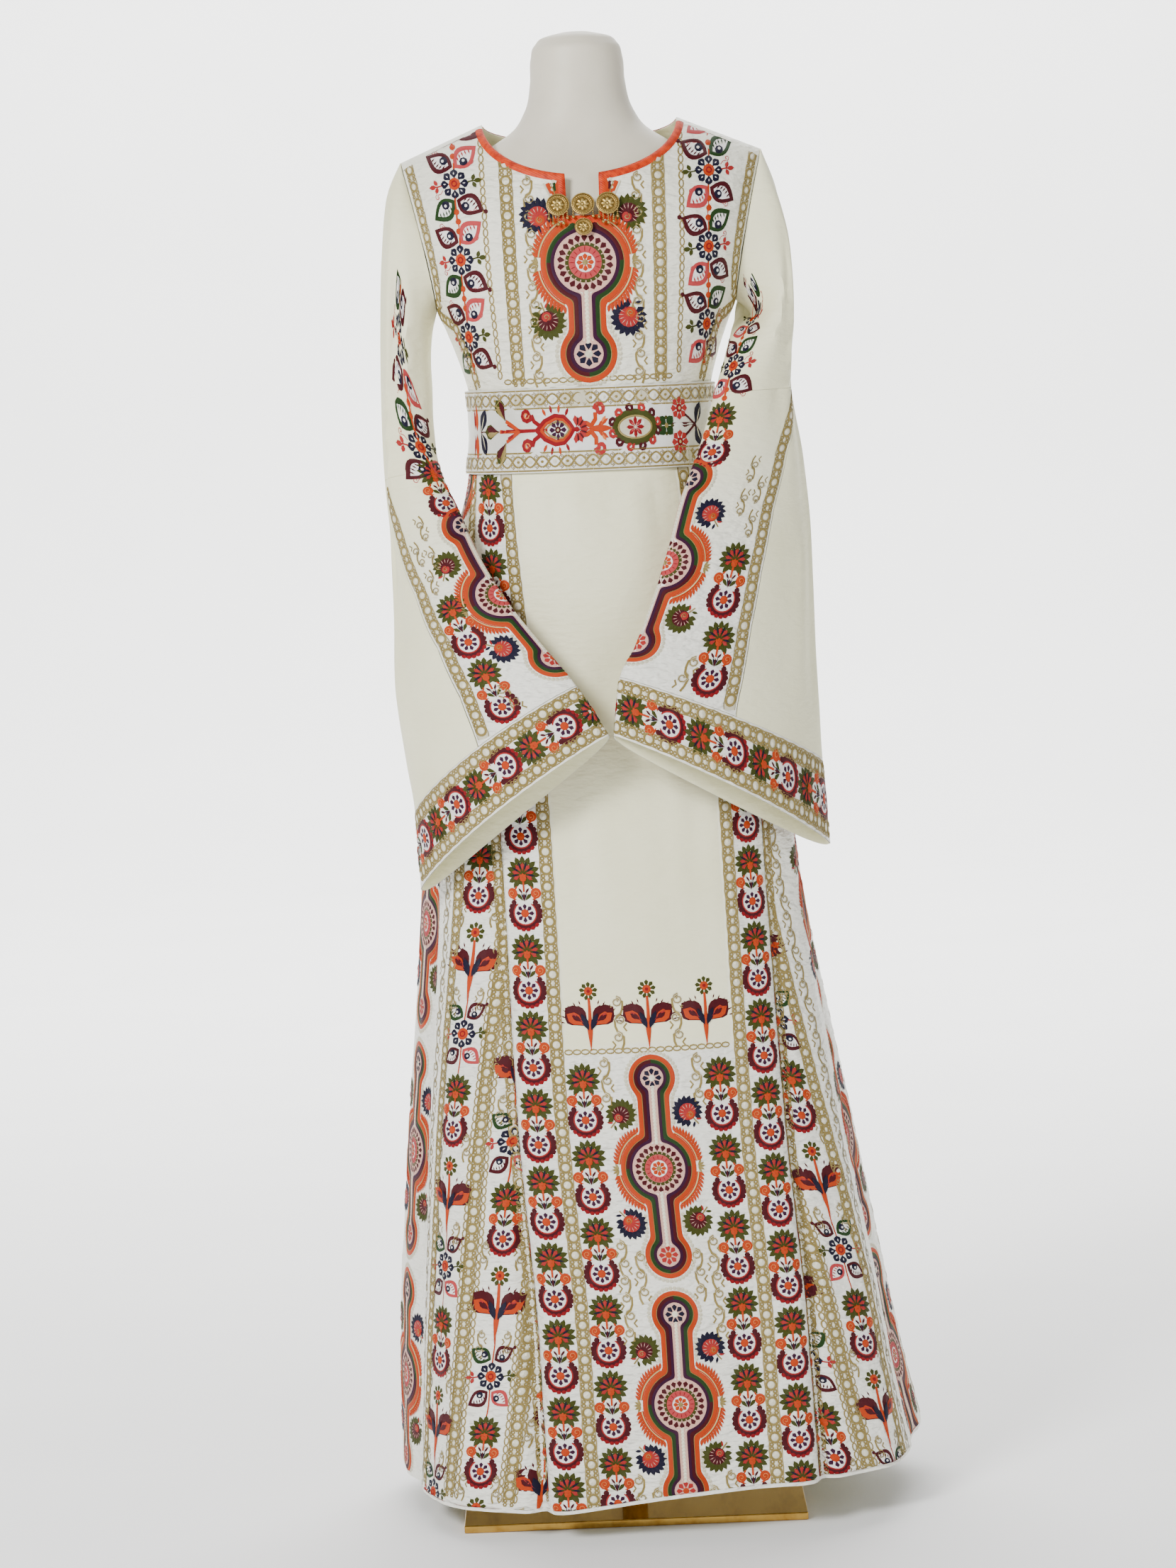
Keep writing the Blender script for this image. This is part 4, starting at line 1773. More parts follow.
MAROON_LEAF, PINK_LEAF = eye_leaf("maroon"), eye_leaf("pink")
GREEN_LEAF, BALL_LEAF = eye_leaf("green"), eye_leaf("maroon", True)
GREEN_SPRIG, CORAL_SPRIG, WISP = sprig("olive"), sprig("coral"), wisp()
BLOOM = bloom("navy", "orange")
GREEN_FLOWER = spiky_flower("olive", "maroon", "coral")
NAVY_FLOWER = spiky_flower("navy", "coral", "orange")
PAIR, TULIP, VINE = palmette_and_ring(), tulip(), vine_repeat()
LINK, BRAID = chain_link(), braid_repeat()
MEDALLION = flowered_medallion((
    (GREEN_FLOWER, -34, 57, -40), (NAVY_FLOWER, 34, 57, 40),
    (NAVY_FLOWER, -34, -56, 220), (GREEN_FLOWER, 34, -56, -220),
))
KEYHOLE = flowered_medallion((
    (NAVY_FLOWER, -40, 42, 30), (GREEN_FLOWER, 40, 42, -30),
    (GREEN_FLOWER, -34, -50, 200), (NAVY_FLOWER, 36, -49, -200),
), lower=("navy", "grey gold"), top_y=62.0, low_y=-79.0, low=12.0, turning=("maroon", "green"))
PAIR_PITCH, VINE_PITCH, BRAID_PITCH, LINK_PITCH, MEDALLION_PITCH = 79.0, 79.0, 18.0, 8.6, 243.0


def run_along(target, motif, path, pitch, start=0.5, turn=-90.0, scale=1.0):
    """Repeats a motif along a path. Its y axis lies along the path at turn -90."""
    for (x, y), heading in zip(*evenly(path, pitch, start)):
        target.put(motif, x, y, heading + turn, scale)


# ---------------------------------------------------------------- charts
# A chart turns x, y on a piece in millimetres into points and normals, and holds them inside it.
EDGE = 0.0012  # the embroidery ends this far inside a seam
HEM_MARGIN = 0.004


def skirt_chart(kind):
    """x from the middle of the panel, y the height, as seen from outside."""
    def chart(x, y):
        z = np.clip(y / 1000, SKIRT[0][0], BELT_BOTTOM - 0.001)
        gore = SKIRT_CLOTH.gore(z)
        if kind in ("front", "back"):
            middle = 0 * z if kind == "front" else SKIRT_CLOTH.around(z) / 2
            half = PANEL_HALF - EDGE
        else:
            middle = (PANEL_HALF + gore / 2) * (1 if kind == "right" else -1)
            half = gore / 2 - EDGE
        s = middle + np.clip(x / 1000, -half, half)
        z = np.maximum(z, SKIRT_CLOTH.hem(s, z) + HEM_MARGIN)
        return SKIRT_CLOTH.surface(s, z)
    return chart


def round_at(bodice, x, z):
    """The distance round the bodice's section to the place x across."""
    columns = np.arange(HALF_SECTION_POINTS + 1)
    row = np.full(len(columns), (z - BODICE_TABLE_LOW) / BODICE_TABLE_STEP)
    angles = read_grid(bodice.grid, row, columns)
    share = np.interp(abs(float(bodice.angle_at(x, z))), angles, columns) / HALF_SECTION_POINTS
    return math.copysign(share * float(bodice.half_length(z)), x)


def edge_table(bodice):
    """Heights, and the distance round to the side seam or to the armhole above it."""
    heights = np.linspace(WAIST_Z, 1.46, 65)
    edges = [round_at(bodice, float(armhole_x(z)), z) if z > UNDERARM_Z
             else float(bodice.half_length(z)) for z in heights]
    return heights, np.array(edges)


BODICE_EDGES = {-1: edge_table(FRONT), 1: edge_table(BACK)}


def bodice_edge(bodice, z):
    return np.interp(z, *BODICE_EDGES[bodice.face])


def bodice_chart(bodice):
    """x round from the middle, y the height, inside the neck, the slit and the armholes."""
    front = bodice.face < 0
    drop = FRONT_NECK_DROP if front else BACK_NECK_DROP
    slit_foot = WAIST_Z + (NECK_Z - drop - WAIST_Z) * SLIT_SHARE

    def chart(x, y):
        z = np.maximum(y / 1000, BELT_TOP + 0.001)
        half = bodice_edge(bodice, z) - EDGE
        s = np.clip(x / 1000, -half, half)
        if front:
            in_slit = (z > slit_foot - 0.001) & (np.abs(s) < SLIT_HALF + 0.003)
            s = np.where(in_slit, np.where(s < 0, -1, 1) * (SLIT_HALF + 0.003), s)
        across = np.minimum(np.abs(s), NECK_X * 1.02)
        neck = neck_height(np.minimum(across, NECK_X), drop) - 0.002
        shoulder = shoulder_height(np.abs(s) * 0.985) - 0.006
        z = np.minimum(z, np.where(np.abs(s) < NECK_X, np.minimum(neck, shoulder), shoulder))
        return bodice.by_distance(s if front else -s, z)
    return chart


STRIP_ROWS = (0.1, 0.6, 1.5, 2.5, 3.5, 5.0)
STRIP_HEAD = {"left": 1.5, "right": 0.12}  # the row where it begins
STRIP_PLACES = {  # distance of the strip's middle from the inner edge, by row
    "left": (0.104, 0.104, 0.096, 0.076, 0.042, 0.008),
    "right": (0.085, 0.045, 0.000, 0.000, 0.006, 0.014),
}
STRIP_SHARES = {  # how much of its width the fold leaves it
    "left": (0.45, 0.45, 0.45, 0.50, 0.70, 1.00),
    "right": (0.45, 0.50, 0.60, 0.70, 0.85, 1.00),
}


def strip_chart(side, low_drop, high_drop):
    """x from the middle of the upper sleeve's strip, y up from the cuff's seam."""
    sleeve = SLEEVE[side]

    def chart(x, y):
        row = sleeve.row_at(np.clip(-y / 1000, low_drop, high_drop))
        middle = np.interp(row, STRIP_ROWS, STRIP_PLACES[side])
        share = np.interp(row, STRIP_ROWS, STRIP_SHARES[side])
        return sleeve.surface(row, sleeve.turn_at(row, middle + x / 1000 * share))
    return chart


def sleeve_chart(side, low_drop, high_drop, bound=None):
    """x round from the inner edge, + over the front, y up from the cuff's seam."""
    sleeve = SLEEVE[side]

    def chart(x, y):
        drop = np.clip(-y / 1000, low_drop, high_drop)
        row = sleeve.row_at(drop)
        distance = x / 1000
        if bound:
            half = bound(row)
            distance = np.clip(distance, -half, half)
        return sleeve.surface(row, sleeve.turn_at(row, distance))
    return chart


def insert_half(side):
    """Half the insert's width by row, from the inner edge."""
    sleeve = SLEEVE[side]

    def half(row):
        return sleeve.distance_at(row, sleeve.reach(row)) - 0.003
    return half


def belt_chart(x, y):
    """x round from the front, y the height."""
    z = np.clip(y / 1000, BELT_BOTTOM + 0.001, BELT_TOP - 0.001)
    return BELT.surface(x / 1000, z)


WRAP = 24.0  # millimetres of thread before the swatch starts again
SWATCH_EDGE = 0.6  # millimetres left clear inside a swatch's edge
THREAD_CLEAR = 0.00006  # the thread's edge stands this far off the cloth at least
MOST_STRETCH, SLACK = 1.6, 0.002  # a face with a side longer than this allows is left out
LEAST_FACE = 1e-8  # square metres: a face squeezed flatter than this at a seam is left out


def embroider(name, stitches, chart):
    """One mesh of thread on a piece."""
    points, faces, threads = stitches.arrays()
    places, normals = chart(points[:, 0], points[:, 1])
    laid = places + normals * (points[:, 2] / 1000 + THREAD_CLEAR)[:, None]
    a, b, c = (laid[faces[:, i]] for i in range(3))
    turn = np.cross(b - a, c - a)
    flat = np.linalg.norm(np.cross(places[faces[:, 1]] - places[faces[:, 0]],
                                   places[faces[:, 2]] - places[faces[:, 0]]), axis=1)
    sides = [(laid[faces[:, i]] - laid[faces[:, i - 1]], points[faces[:, i], :2]
              - points[faces[:, i - 1], :2]) for i in range(3)]
    torn = [np.linalg.norm(d, axis=1) > np.linalg.norm(f, axis=1) / 1000 * MOST_STRETCH + SLACK
            for d, f in sides]
    kept = (flat > 2 * LEAST_FACE) & ~np.any(torn, axis=0)
    faces, turn = faces[kept], turn[kept]
    inward = (turn * normals[faces[:, 0]]).sum(axis=1) < 0
    faces[inward] = faces[inward][:, ::-1]
    used, faces = np.unique(faces, return_inverse=True)
    faces = faces.reshape(-1, 3)
    threads, points, laid = threads[used], points[used], laid[used]
    colours = np.array([colour for colour, _ in THREADS.values()])
    is_metal = np.array([metal for _, metal in THREADS.values()])
    made = make_object(name, laid, faces, [SILK, METAL_THREAD], 55)
    mesh = made.data
    mesh.polygons.foreach_set("material_index", is_metal[threads[faces[:, 0]]].astype(np.int32))
    values = np.concatenate([colours[threads], np.ones((len(threads), 1))], 1)
    mesh.attributes.new("thread", "FLOAT_COLOR", "POINT").data.foreach_set(
        "color", values.astype(np.float32).ravel())
    place = points[faces][..., 3:5]
    start = np.floor(place.min(axis=1, keepdims=True) / WRAP) * WRAP
    place = np.clip(place - start + SWATCH_EDGE, SWATCH_EDGE, SWATCH - SWATCH_EDGE)
    board = threads[faces[:, 0]]
    corner = np.stack([board % BOARD, board // BOARD], 1) * SWATCH
    add_map(mesh, (place + corner[:, None]) / (SWATCH * BOARD))
    return made


# ---------------------------------------------------------------- what is worked on each piece
def column(target, motif, x, top, bottom, pitch, flip=False):
    """A motif repeated down a line. top is the place of the first one."""
    y = top
    while y > bottom:
        target.put(motif, x, y, flip=flip)
        y -= pitch


def straight(target, motif, x, top, bottom, pitch):
    run_along(target, motif, [(x, top), (x, (top + bottom) / 2), (x, bottom)], pitch)


SHORT_CURLS, TWO_CURLS = curl_column(3), curl_column(2)


def mixed_repeat():
    """One repeat of the mixed column, 243 tall, from its navy flower down."""
    m = Stitches()
    m.put(BLOOM, 0, 0, 0, 0.95)
    m.put(GREEN_SPRIG, 14, 1, 8)
    m.put(CORAL_SPRIG, -14, -1, 188)
    m.thin([(0, -14), (0.8, -30), (0, -42)], 1.5, "orange", 0.4)
    m.put(MAROON_LEAF, -2, -16, 215)
    m.put(PINK_LEAF, 2, -16, -38)
    m.put(PAIR, 0, -59)
    m.put(TULIP, 0, -138, 0, 1.15)
    for x, y in ((-19, -104), (19, -104), (-15, -196), (15, -196)):
        m.put(TWO_CURLS, x, y, 0, 0.8, x > 0)
    m.put(GREEN_LEAF, -2, -226, 150)
    m.put(BALL_LEAF, 2, -226, 30)
    m.thin([(0, -190), (0.8, -210), (0, -229)], 1.5, "orange", 0.4)
    return m


MIXED = mixed_repeat()
MEDALLION_HEIGHTS = (1090, 871, 628, 385, 142)  # the middle panels have the lowest two


def panel_stitches():
    """A panel of the skirt: plain above, medallions at its foot and columns down its sides."""
    m = Stitches()
    for y in MEDALLION_HEIGHTS[-2:]:
        m.put(MEDALLION, 0, y)
    for side in (-1, 1):
        for y in (500, 312, 258, 70):
            m.put(SHORT_CURLS, side * 47, y, 0, 1.0, side < 0)
        for y in (300, 56):
            m.put(SHORT_CURLS, side * 30, y, 0, 1.0, side > 0)
        column(m, PAIR, side * 71, 478, 40, PAIR_PITCH)
        column(m, PAIR, side * 121, 1086, 40, PAIR_PITCH)
        straight(m, BRAID, side * 96, 1100, 40, BRAID_PITCH)
    for x in (-60, 0, 60):
        m.put(TULIP, x, 569)
    for x in (-30, 30):
        m.put(SHORT_CURLS, x, 562, 0, 1.0, x < 0)
    foot, half = PLAIN_FOOT_Z * 1000 - 5, PLAIN_HALF * 1000
    run_along(m, LINK, [(-half, foot), (0, foot), (half, foot)], LINK_PITCH)
    return m


GORE_SHIFT = {"left": 0, "right": -54}  # the folds bring the right one's middle forward
GORE_MIXED = ((115, 1010), (183, 900), (250, 960))  # mixed columns: from the middle, and the top
GORE_BRAIDS = ((90, 1000), (148, 800), (218, 400))  # the braids between them


def gore_stitches(shift):
    """A side panel: columns that stay parallel to its middle and run out at its seams."""
    m = Stitches()
    for y in MEDALLION_HEIGHTS:
        m.put(MEDALLION, shift, y)
    heights = np.linspace(1.098, 0.045, 40)
    edge = SKIRT_CLOTH.gore(heights) * 500 - 8.0
    for hand in (-1, 1):
        for x, top in GORE_MIXED:
            column(m, MIXED, shift + hand * x, top, 30, MEDALLION_PITCH, hand < 0)
            for aside in (-25, 25):
                straight(m, LINK, shift + hand * x + aside, top, 40, LINK_PITCH)
        column(m, SHORT_CURLS, shift + hand * 70, 940, 60, 3 * CURL_PITCH, hand < 0)
        for x, top in GORE_BRAIDS:
            straight(m, BRAID, shift + hand * x, top, 40, BRAID_PITCH)
        run_along(m, BRAID, np.stack([hand * edge, heights * 1000], 1), BRAID_PITCH, scale=0.9)
    return m


def rounded(bodice, path):
    """A path of x, z on the bodice as seen from in front, in millimetres round it."""
    return [(round_at(bodice, x / 1000, z / 1000) * 1000, z) for x, z in path]


def slit_bands(m, side):
    """The keyhole's bands go on up beside the slit: green on the left, maroon on the right."""
    top = float(neck_height(SLIT_HALF, FRONT_NECK_DROP)) * 1000 - 9
    heights = np.linspace(top, COIN_Z * 1000 + 4, 9)
    share = np.linspace(0, 1, 9)
    edge = (SLIT_HALF * 1000 + 9.5) * (1 - 0.25 * share)
    first = "green" if side < 0 else "maroon"
    for aside, wide, thread in ((2, 4.2, first), (5, 1.4, "gold"), (8.2, 4.4, "orange"),
                                (12.2, 2.2, "grey gold")):
        bow = edge + aside * (1 - 0.25 * share)
        m.line(np.stack([side * bow, heights], 1), wide, thread, 0.5, 0.05)


KEYHOLE_Y, KEYHOLE_SCALE, BACK_MEDALLION_Y = 1314, 1.18, 1310


def bodice_stitches(bodice):
    """Vines, braids and gold curls on each side of a medallion."""
    front = bodice.face < 0
    m = Stitches()
    if front:
        m.put(KEYHOLE, 0, KEYHOLE_Y, scale=KEYHOLE_SCALE)
    else:
        m.put(MEDALLION, 0, BACK_MEDALLION_Y)
    for side in (-1, 1):
        vine = rounded(bodice, [(side * 134, 1484), (side * 128, 1330), (side * 117, 1180)])
        if side * -bodice.face > 0:
            run_along(m, VINE, vine, VINE_PITCH, 1.0)
            top_leaves = (PINK_LEAF, BALL_LEAF)
        else:
            run_along(m, VINE, vine[::-1], VINE_PITCH, 0.8)
            top_leaves = (GREEN_LEAF, MAROON_LEAF)
        x, y = vine[0]
        for leaf, turn in zip(top_leaves, (215, -30)):
            m.put(leaf, x, y - 20, turn, 1.2)
        braid = rounded(bodice, [(side * 79, 1446), (side * 77, 1320), (side * 73, 1188)])
        run_along(m, BRAID, braid, BRAID_PITCH)
        border = rounded(bodice, [(side * 104, 1456), (side * 100, 1320), (side * 92, 1196)])
        run_along(m, LINK, border, LINK_PITCH)
        curls = rounded(bodice, [(side * 56, 1408), (side * 54, 1290), (side * 52, 1196)])
        for (x, y), _ in zip(*evenly(curls, 2 * CURL_PITCH, 0.1)):
            m.put(TWO_CURLS, x, y, 0, 1.0, side < 0)
        heights = np.linspace(1.445, UNDERARM_Z, 20)
        armhole = np.stack([side * (bodice_edge(bodice, heights) * 1000 - 10.5), heights * 1000], 1)
        below = [(side * (float(bodice.size(z)[0]) * 1000 - 12.0), z * 1000)
                 for z in np.linspace(1.255, 1.190, 6)]
        edge = np.concatenate([armhole, rounded(bodice, below)])
        run_along(m, BRAID, edge, BRAID_PITCH, scale=0.95)
        if front:
            slit_bands(m, side)
    run_along(m, LINK, [(-92, 1195), (0, 1195), (92, 1195)], LINK_PITCH)
    return m


SLEEVE_MEDALLIONS = {"left": 127, "right": 131}  # height of the big circle over the cuff's seam
INSERT_PAIRS = (69, 148)  # palmettes up the insert's edge, from the cuff's braid
PAIR_ASIDE = 26.0  # their middles, from the middle of the braid along that edge
INSERT_CURLS = ((17.0, 150, 215), (32.0, 175, 250))  # as far aside, from and to along the edge


def insert_stitches(side):
    """The insert: a medallion cut by the fold, its palmettes, and a braid along its edge."""
    sleeve = SLEEVE[side]
    m = Stitches()
    top = -float(np.interp(INSERT_TOP[side], sleeve.rows, sleeve.edge)) * 1000
    m.put(MEDALLION, 0, SLEEVE_MEDALLIONS[side], 0, 1.0, side == "left")
    half = insert_half(side)
    drops = np.linspace(3, top - 4, 60)
    edge = half(sleeve.row_at(-drops / 1000)) * 1000 - 7.0
    for hand in (-1, 1):
        path = np.stack([hand * np.maximum(edge, 0.0), drops], 1)
        run_along(m, BRAID, path[edge > 4], BRAID_PITCH)
        inner = beside(path, np.full(len(path), hand * PAIR_ASIDE))
        along = lengths_along(inner)
        for reach in INSERT_PAIRS:
            x, y = (float(np.interp(reach, along, inner[:, i])) for i in (0, 1))
            ahead = [float(np.interp(reach + 5, along, inner[:, i])) for i in (0, 1)]
            m.put(PAIR, x, y, math.degrees(math.atan2(ahead[1] - y, ahead[0] - x)) - 90)
        for aside, low, high in INSERT_CURLS:
            line = beside(path, np.full(len(path), hand * aside))
            along = lengths_along(line)
            part = line[(along > low) & (along < high) & (line[:, 0] * hand > 20)]
            if len(part) > 3:
                run_along(m, TWO_CURLS, part, 2 * CURL_PITCH, 0.5, 90, 0.8)
        m.put(TWO_CURLS, hand * 62, 40, 0, 1.0, hand < 0)
    return m


PAIR_DEEP = 60  # from a palmette's centre to under its ring
MEDALLION_REACH = 106  # from a medallion's centre to over its upper circle


def strip_foot(side):
    """Where the strip ends, over the insert's medallion, in millimetres from the cuff's seam."""
    return SLEEVE_MEDALLIONS[side] + MEDALLION_REACH


def upper_sleeve_stitches(side):
    """The strip above the insert, folded down its middle: a vine and a palmette with its ring."""
    sleeve = SLEEVE[side]
    m = Stitches()
    top = -float(np.interp(STRIP_HEAD[side], sleeve.rows, sleeve.edge)) * 1000
    pair = strip_foot(side) + PAIR_DEEP
    m.put(PAIR, 0, pair)
    run_along(m, VINE, [(0, top), (0, (top + pair) / 2), (0, pair + 22)], VINE_PITCH, 0.45)
    return m


CUFF_PAIR_PITCH = 78
CUFF_BRAID_INSET = 9  # from the cuff's edges to the middle of its braids
CUFF_SHIFT = {"left": 38.5, "right": -20.5}  # of a pair, from the middle of its share of the cuff


def cuff_stitches(side):
    """Braid along both edges, with palmettes and rings between them."""
    sleeve = SLEEVE[side]
    m = Stitches()
    deep = sleeve.cuff_drop * 1000
    around = float(sleeve.distance_at(CUFF_ROW + 0.5, math.pi) * 2000)
    reach = around / 2 - 6
    for y in (-CUFF_BRAID_INSET, -deep + CUFF_BRAID_INSET):
        run_along(m, BRAID, [(-reach, y), (0, y), (reach, y)], BRAID_PITCH)
    count = int(round(around / CUFF_PAIR_PITCH))
    turn = 90 if side == "right" else -90  # the palmette is always on its ring's left
    for i in range(count):
        x = -around / 2 + (i + 0.5) * around / count
        m.put(PAIR, x + CUFF_SHIFT[side], -deep / 2, turn)
    return m


# ---- the belt ----
LACE_HALF = 13  # half of one repeat of the lace
LACE_INSET = 11.0  # from the belt's edge to the lace's middle
SPRAY_X = -32.0  # the spray's own origin, from the belt's middle
SPRAY_TALL = 1.2  # its figures are stretched to fill the satin between the lace


def lace_repeat():
    """One repeat of the belt's lace border, 20 tall: waved lines, knots and pearls."""
    m = Stitches()
    end = LACE_HALF
    m.strip([[(-end, -10), (end, -10)], [(-end, 10), (end, 10)]], (0.07, 0.07), "grey gold")
    for y in (-9.2, 9.2):
        m.thin([(-end, y), (0, y), (end, y)], 1.7, "gold", 0.5)
    t = np.linspace(-end, end, 13)
    for hand in (-1, 1):
        m.thin(np.stack([t, hand * 5.6 * np.cos(math.pi * t / end)], 1), 1.9, "gold", 0.55, 0.05)
        m.curl(-6.5, hand * 4.6, 3.0, 1.4, 0.9, "gold", 90 * hand, hand, 0.1, 7)
        m.curl(6.5, hand * 4.6, 3.0, 1.4, 0.9, "gold", 90 * hand, -hand, 0.1, 7)
    m.disc(0, 0, 2.4, "pearl", 0.9, 7, 0.1)
    for x in (-end, end):
        m.disc(x, 0, 1.6, "gold", 0.8, 6, 0.1)
    return m


def belt_spray():
    """The belt's figures from the navy leaves on the left to the navy leaves on the right."""
    m = Stitches()
    # Leaves on an upright stem
    for hand in (-1, 1):
        m.leaf(-97, 0, hand * 66, 22, 11.5, "navy", 0.6, 0.55, stations=4)
        m.leaf(-96, 0, hand * 66, 17, 1.6, "grey gold", 0.3, stations=2, level=0.55)
        m.leaf(-105, hand * 1, hand * 90, 24, 6.5, "orange", 0.6, 0.4, stations=3)
        m.leaf(-109, hand * 2, hand * 94, 20, 4.0, "red", 0.5, 0.4, stations=3)
    m.thin([(-97, 0), (-88, 0), (-80, 0)], 1.4, "maroon", 0.4)
    # Three buds
    for hand, turn in ((-1, 238), (0, 180), (1, 122)):
        x, y = -62 + (-6 if hand == 0 else 2), hand * 9.0
        m.leaf(x, y, turn, 22, 13.5, "olive", 0.5, 0.66, stations=4)
        m.leaf(x, y, turn + 9, 18, 6.2, "gold", 0.6, 0.66, stations=3, level=0.35)
        m.leaf(x, y, turn - 9, 19, 6.8, "maroon", 0.6, 0.66, stations=3, level=0.4)
        m.thin([(-44, 0), (-54, hand * 6.0), (x, y)], 3.2, "orange", 0.5)
        m.thin([(-42, 0), (-53, hand * 4.0), (x + 2, y * 0.7)], 2.6, "red", 0.4)
    m.thin([(-60, 0), (-40, 0), (-14, 0)], 3.2, "red", 0.5, 0.1)
    # Red curls and the teardrop with its flower
    for hand in (-1, 1):
        m.curl(-36, hand * 13.5, 6.2, 1.3, 3.6, "red", 0, -hand, 0.1, 11)
        m.curl(-36, hand * 13.5, 3.4, 1.0, 1.3, "peach", 0, -hand, 0.5, 8)
        m.thin([(-30.4, hand * 13.5), (-28, hand * 8), (-20, hand * 3)], 3.8, "red", 0.5)
        edge = [(-25, 0), (-17, hand * 7.5), (-6, hand * 12.0), (3, hand * 11.0),
                (9, hand * 5.5), (13, 0)]
        m.line(edge, 4.4, "red", 0.6)
        m.line(np.array(edge) * (0.84, 0.80), 2.8, "orange", 0.5, 0.1)
        m.line(np.array(edge) * (0.68, 0.60), 1.8, "gold", 0.4, 0.1)
        for i, x in enumerate((-15, -9, -2, 5)):
            m.leaf(x, hand * (9.5 + (2.5, 4.5, 4.5, 2.0)[i]), hand * (120 - 18 * i), 8.0, 3.2,
                   "red" if i % 2 else "orange", 0.5, stations=2)
    m.petals(-3, 0, 8, 2.6, 6.4, 4.8, "purple", 0.6, belly=0.6)
    m.disc(-3, 0, 3.2, "maroon", 0.7, 8, 0.2)
    m.disc(-3, 0, 1.4, "pale gold", 0.6, 6, 0.8)
    # The coral shell
    m.petals(17, 0, 7, 2.0, 10.5, 5.6, "coral", 0.6, 0, 200, belly=0.62)
    m.petals(17, 0, 6, 3.0, 8.0, 1.8, "maroon", 0.4, 0, 170, level=0.45)
    m.leaf(13, 0, 0, 7, 5, "red", 0.6, stations=2, level=0.2)
    # The anchor of orange curls
    for hand in (-1, 1):
        m.thin([(31, hand * 2.0), (36, hand * 8), (36, hand * 14)], 4.2, "orange", 0.5)
        m.curl(40.5, hand * 16.5, 5.8, 1.2, 3.8, "coral", 180, -hand, 0.1, 11)
        m.leaf(33, hand * 1.0, hand * 148, 11, 5.0, "orange", 0.5, stations=2)
        m.leaf(38, hand * 2, hand * 30, 13, 4.6, "orange", 0.5, stations=2)
        m.leaf(42, hand * 3, hand * 60, 9, 4.0, "peach", 0.5, stations=2)
    m.leaf(27, 0, 0, 27, 6.5, "orange", 0.6, stations=3, level=0.1)
    # The oval wreath round its star
    rim = circle(0, 0, 1.0, 24)
    m.line(rim * (21.0, 12.6) + (77, 0), 6.4, "olive", 0.7)
    m.line(rim * (17.4, 9.6) + (77, 0), 1.8, "gold", 0.5, 0.1)
    m.strip([np.full_like(rim, (77, 0)), rim * (17.0, 9.2) + (77, 0)], (0.14, 0.10), "grey gold")
    m.petals(77, 0, 8, 1.0, 8.5, 4.0, "red", 0.7, level=0.15)
    m.petals(77, 0, 4, 1.0, 5.5, 2.0, "pink", 0.4, 45, level=0.5)
    for turn in range(15, 375, 30):
        c, s = math.cos(math.radians(turn)), math.sin(math.radians(turn))
        x, y = 77 + 24.5 * c, 17.0 * s
        thread = "maroon" if (turn // 30) % 2 else "coral"
        m.curl(x, y, 4.4, 1.1, 3.2, thread, turn + 180, 1 if s > 0 else -1, 0.1, 8)
    # The small square flower
    m.petals(111, 0, 4, 0.5, 10.5, 9.0, "green", 0.6, 45, stations=3)
    m.petals(111, 0, 4, 5.0, 4.0, 3.4, "olive", 0.6, 0)
    m.disc(111, 0, 2.4, "gold", 0.6, 7, 0.5)
    # Two coral flowers on maroon stems
    for hand in (-1, 1):
        m.petals(127, hand * 14.5, 8, 3.0, 7.4, 6.4, "coral", 0.6, belly=0.62)
        m.disc(127, hand * 14.5, 3.8, "red", 0.7, 9, 0.15)
        m.disc(127, hand * 14.5, 1.6, "pale gold", 0.6, 6, 0.75)
        m.thin([(148, 0), (139, hand * 6.0), (131, hand * 11)], 2.2, "maroon", 0.4)
        m.thin([(118, hand * 1.2), (134, hand * 1.2), (150, hand * 0.8)], 1.8, "maroon", 0.4)
        m.leaf(149, 0, hand * 66, 21, 11.5, "navy", 0.6, 0.55, stations=4)
        m.leaf(150, 0, hand * 66, 16, 1.6, "grey gold", 0.3, stations=2, level=0.55)
        m.leaf(146, 0, hand * 28, 12, 3.0, "maroon", 0.5, stations=2)
    return m


def belt_stitches():
    """Lace along both edges, and the spray between them in front and behind."""
    m = Stitches()
    lace = lace_repeat()
    middle = (BELT_BOTTOM + BELT_TOP) * 500
    around = float(BELT.around(middle / 1000)) * 1000
    spray = belt_spray()
    spray.heighten(SPRAY_TALL)
    m.put(spray, SPRAY_X, middle)
    m.put(spray, SPRAY_X + around / 2, middle)
    count = int(round(around / (2 * LACE_HALF)))
    for i in range(count):
        for y in (BELT_BOTTOM * 1000 + LACE_INSET, BELT_TOP * 1000 - LACE_INSET):
            m.put(lace, (i + 0.5) * around / count - around / 2, y)
    return m


# ---------------------------------------------------------------- coins
COIN_RADIUS, DROP_COIN_RADIUS = 0.0120, 0.0093
COIN_Z, DROP_COIN_Z, COIN_PITCH = 1.372, 1.349, 0.0255
COIN_BACK = 0.0044  # from the cloth to the coin's back
COIN_RINGS = (0.0, 0.05, 0.10, 0.14, 0.20, 0.27, 0.34, 0.41, 0.48, 0.55, 0.61, 0.65, 0.69, 0.73,
              0.77, 0.81, 0.85, 0.89, 0.92, 0.94, 0.97, 1.0)
COIN_SIDES = 84
BEAD_RADIUS, BEAD_PITCH = 0.0010, 0.0021
DANGLES = (-52, -26, 0, 26, 52)  # degrees from straight down


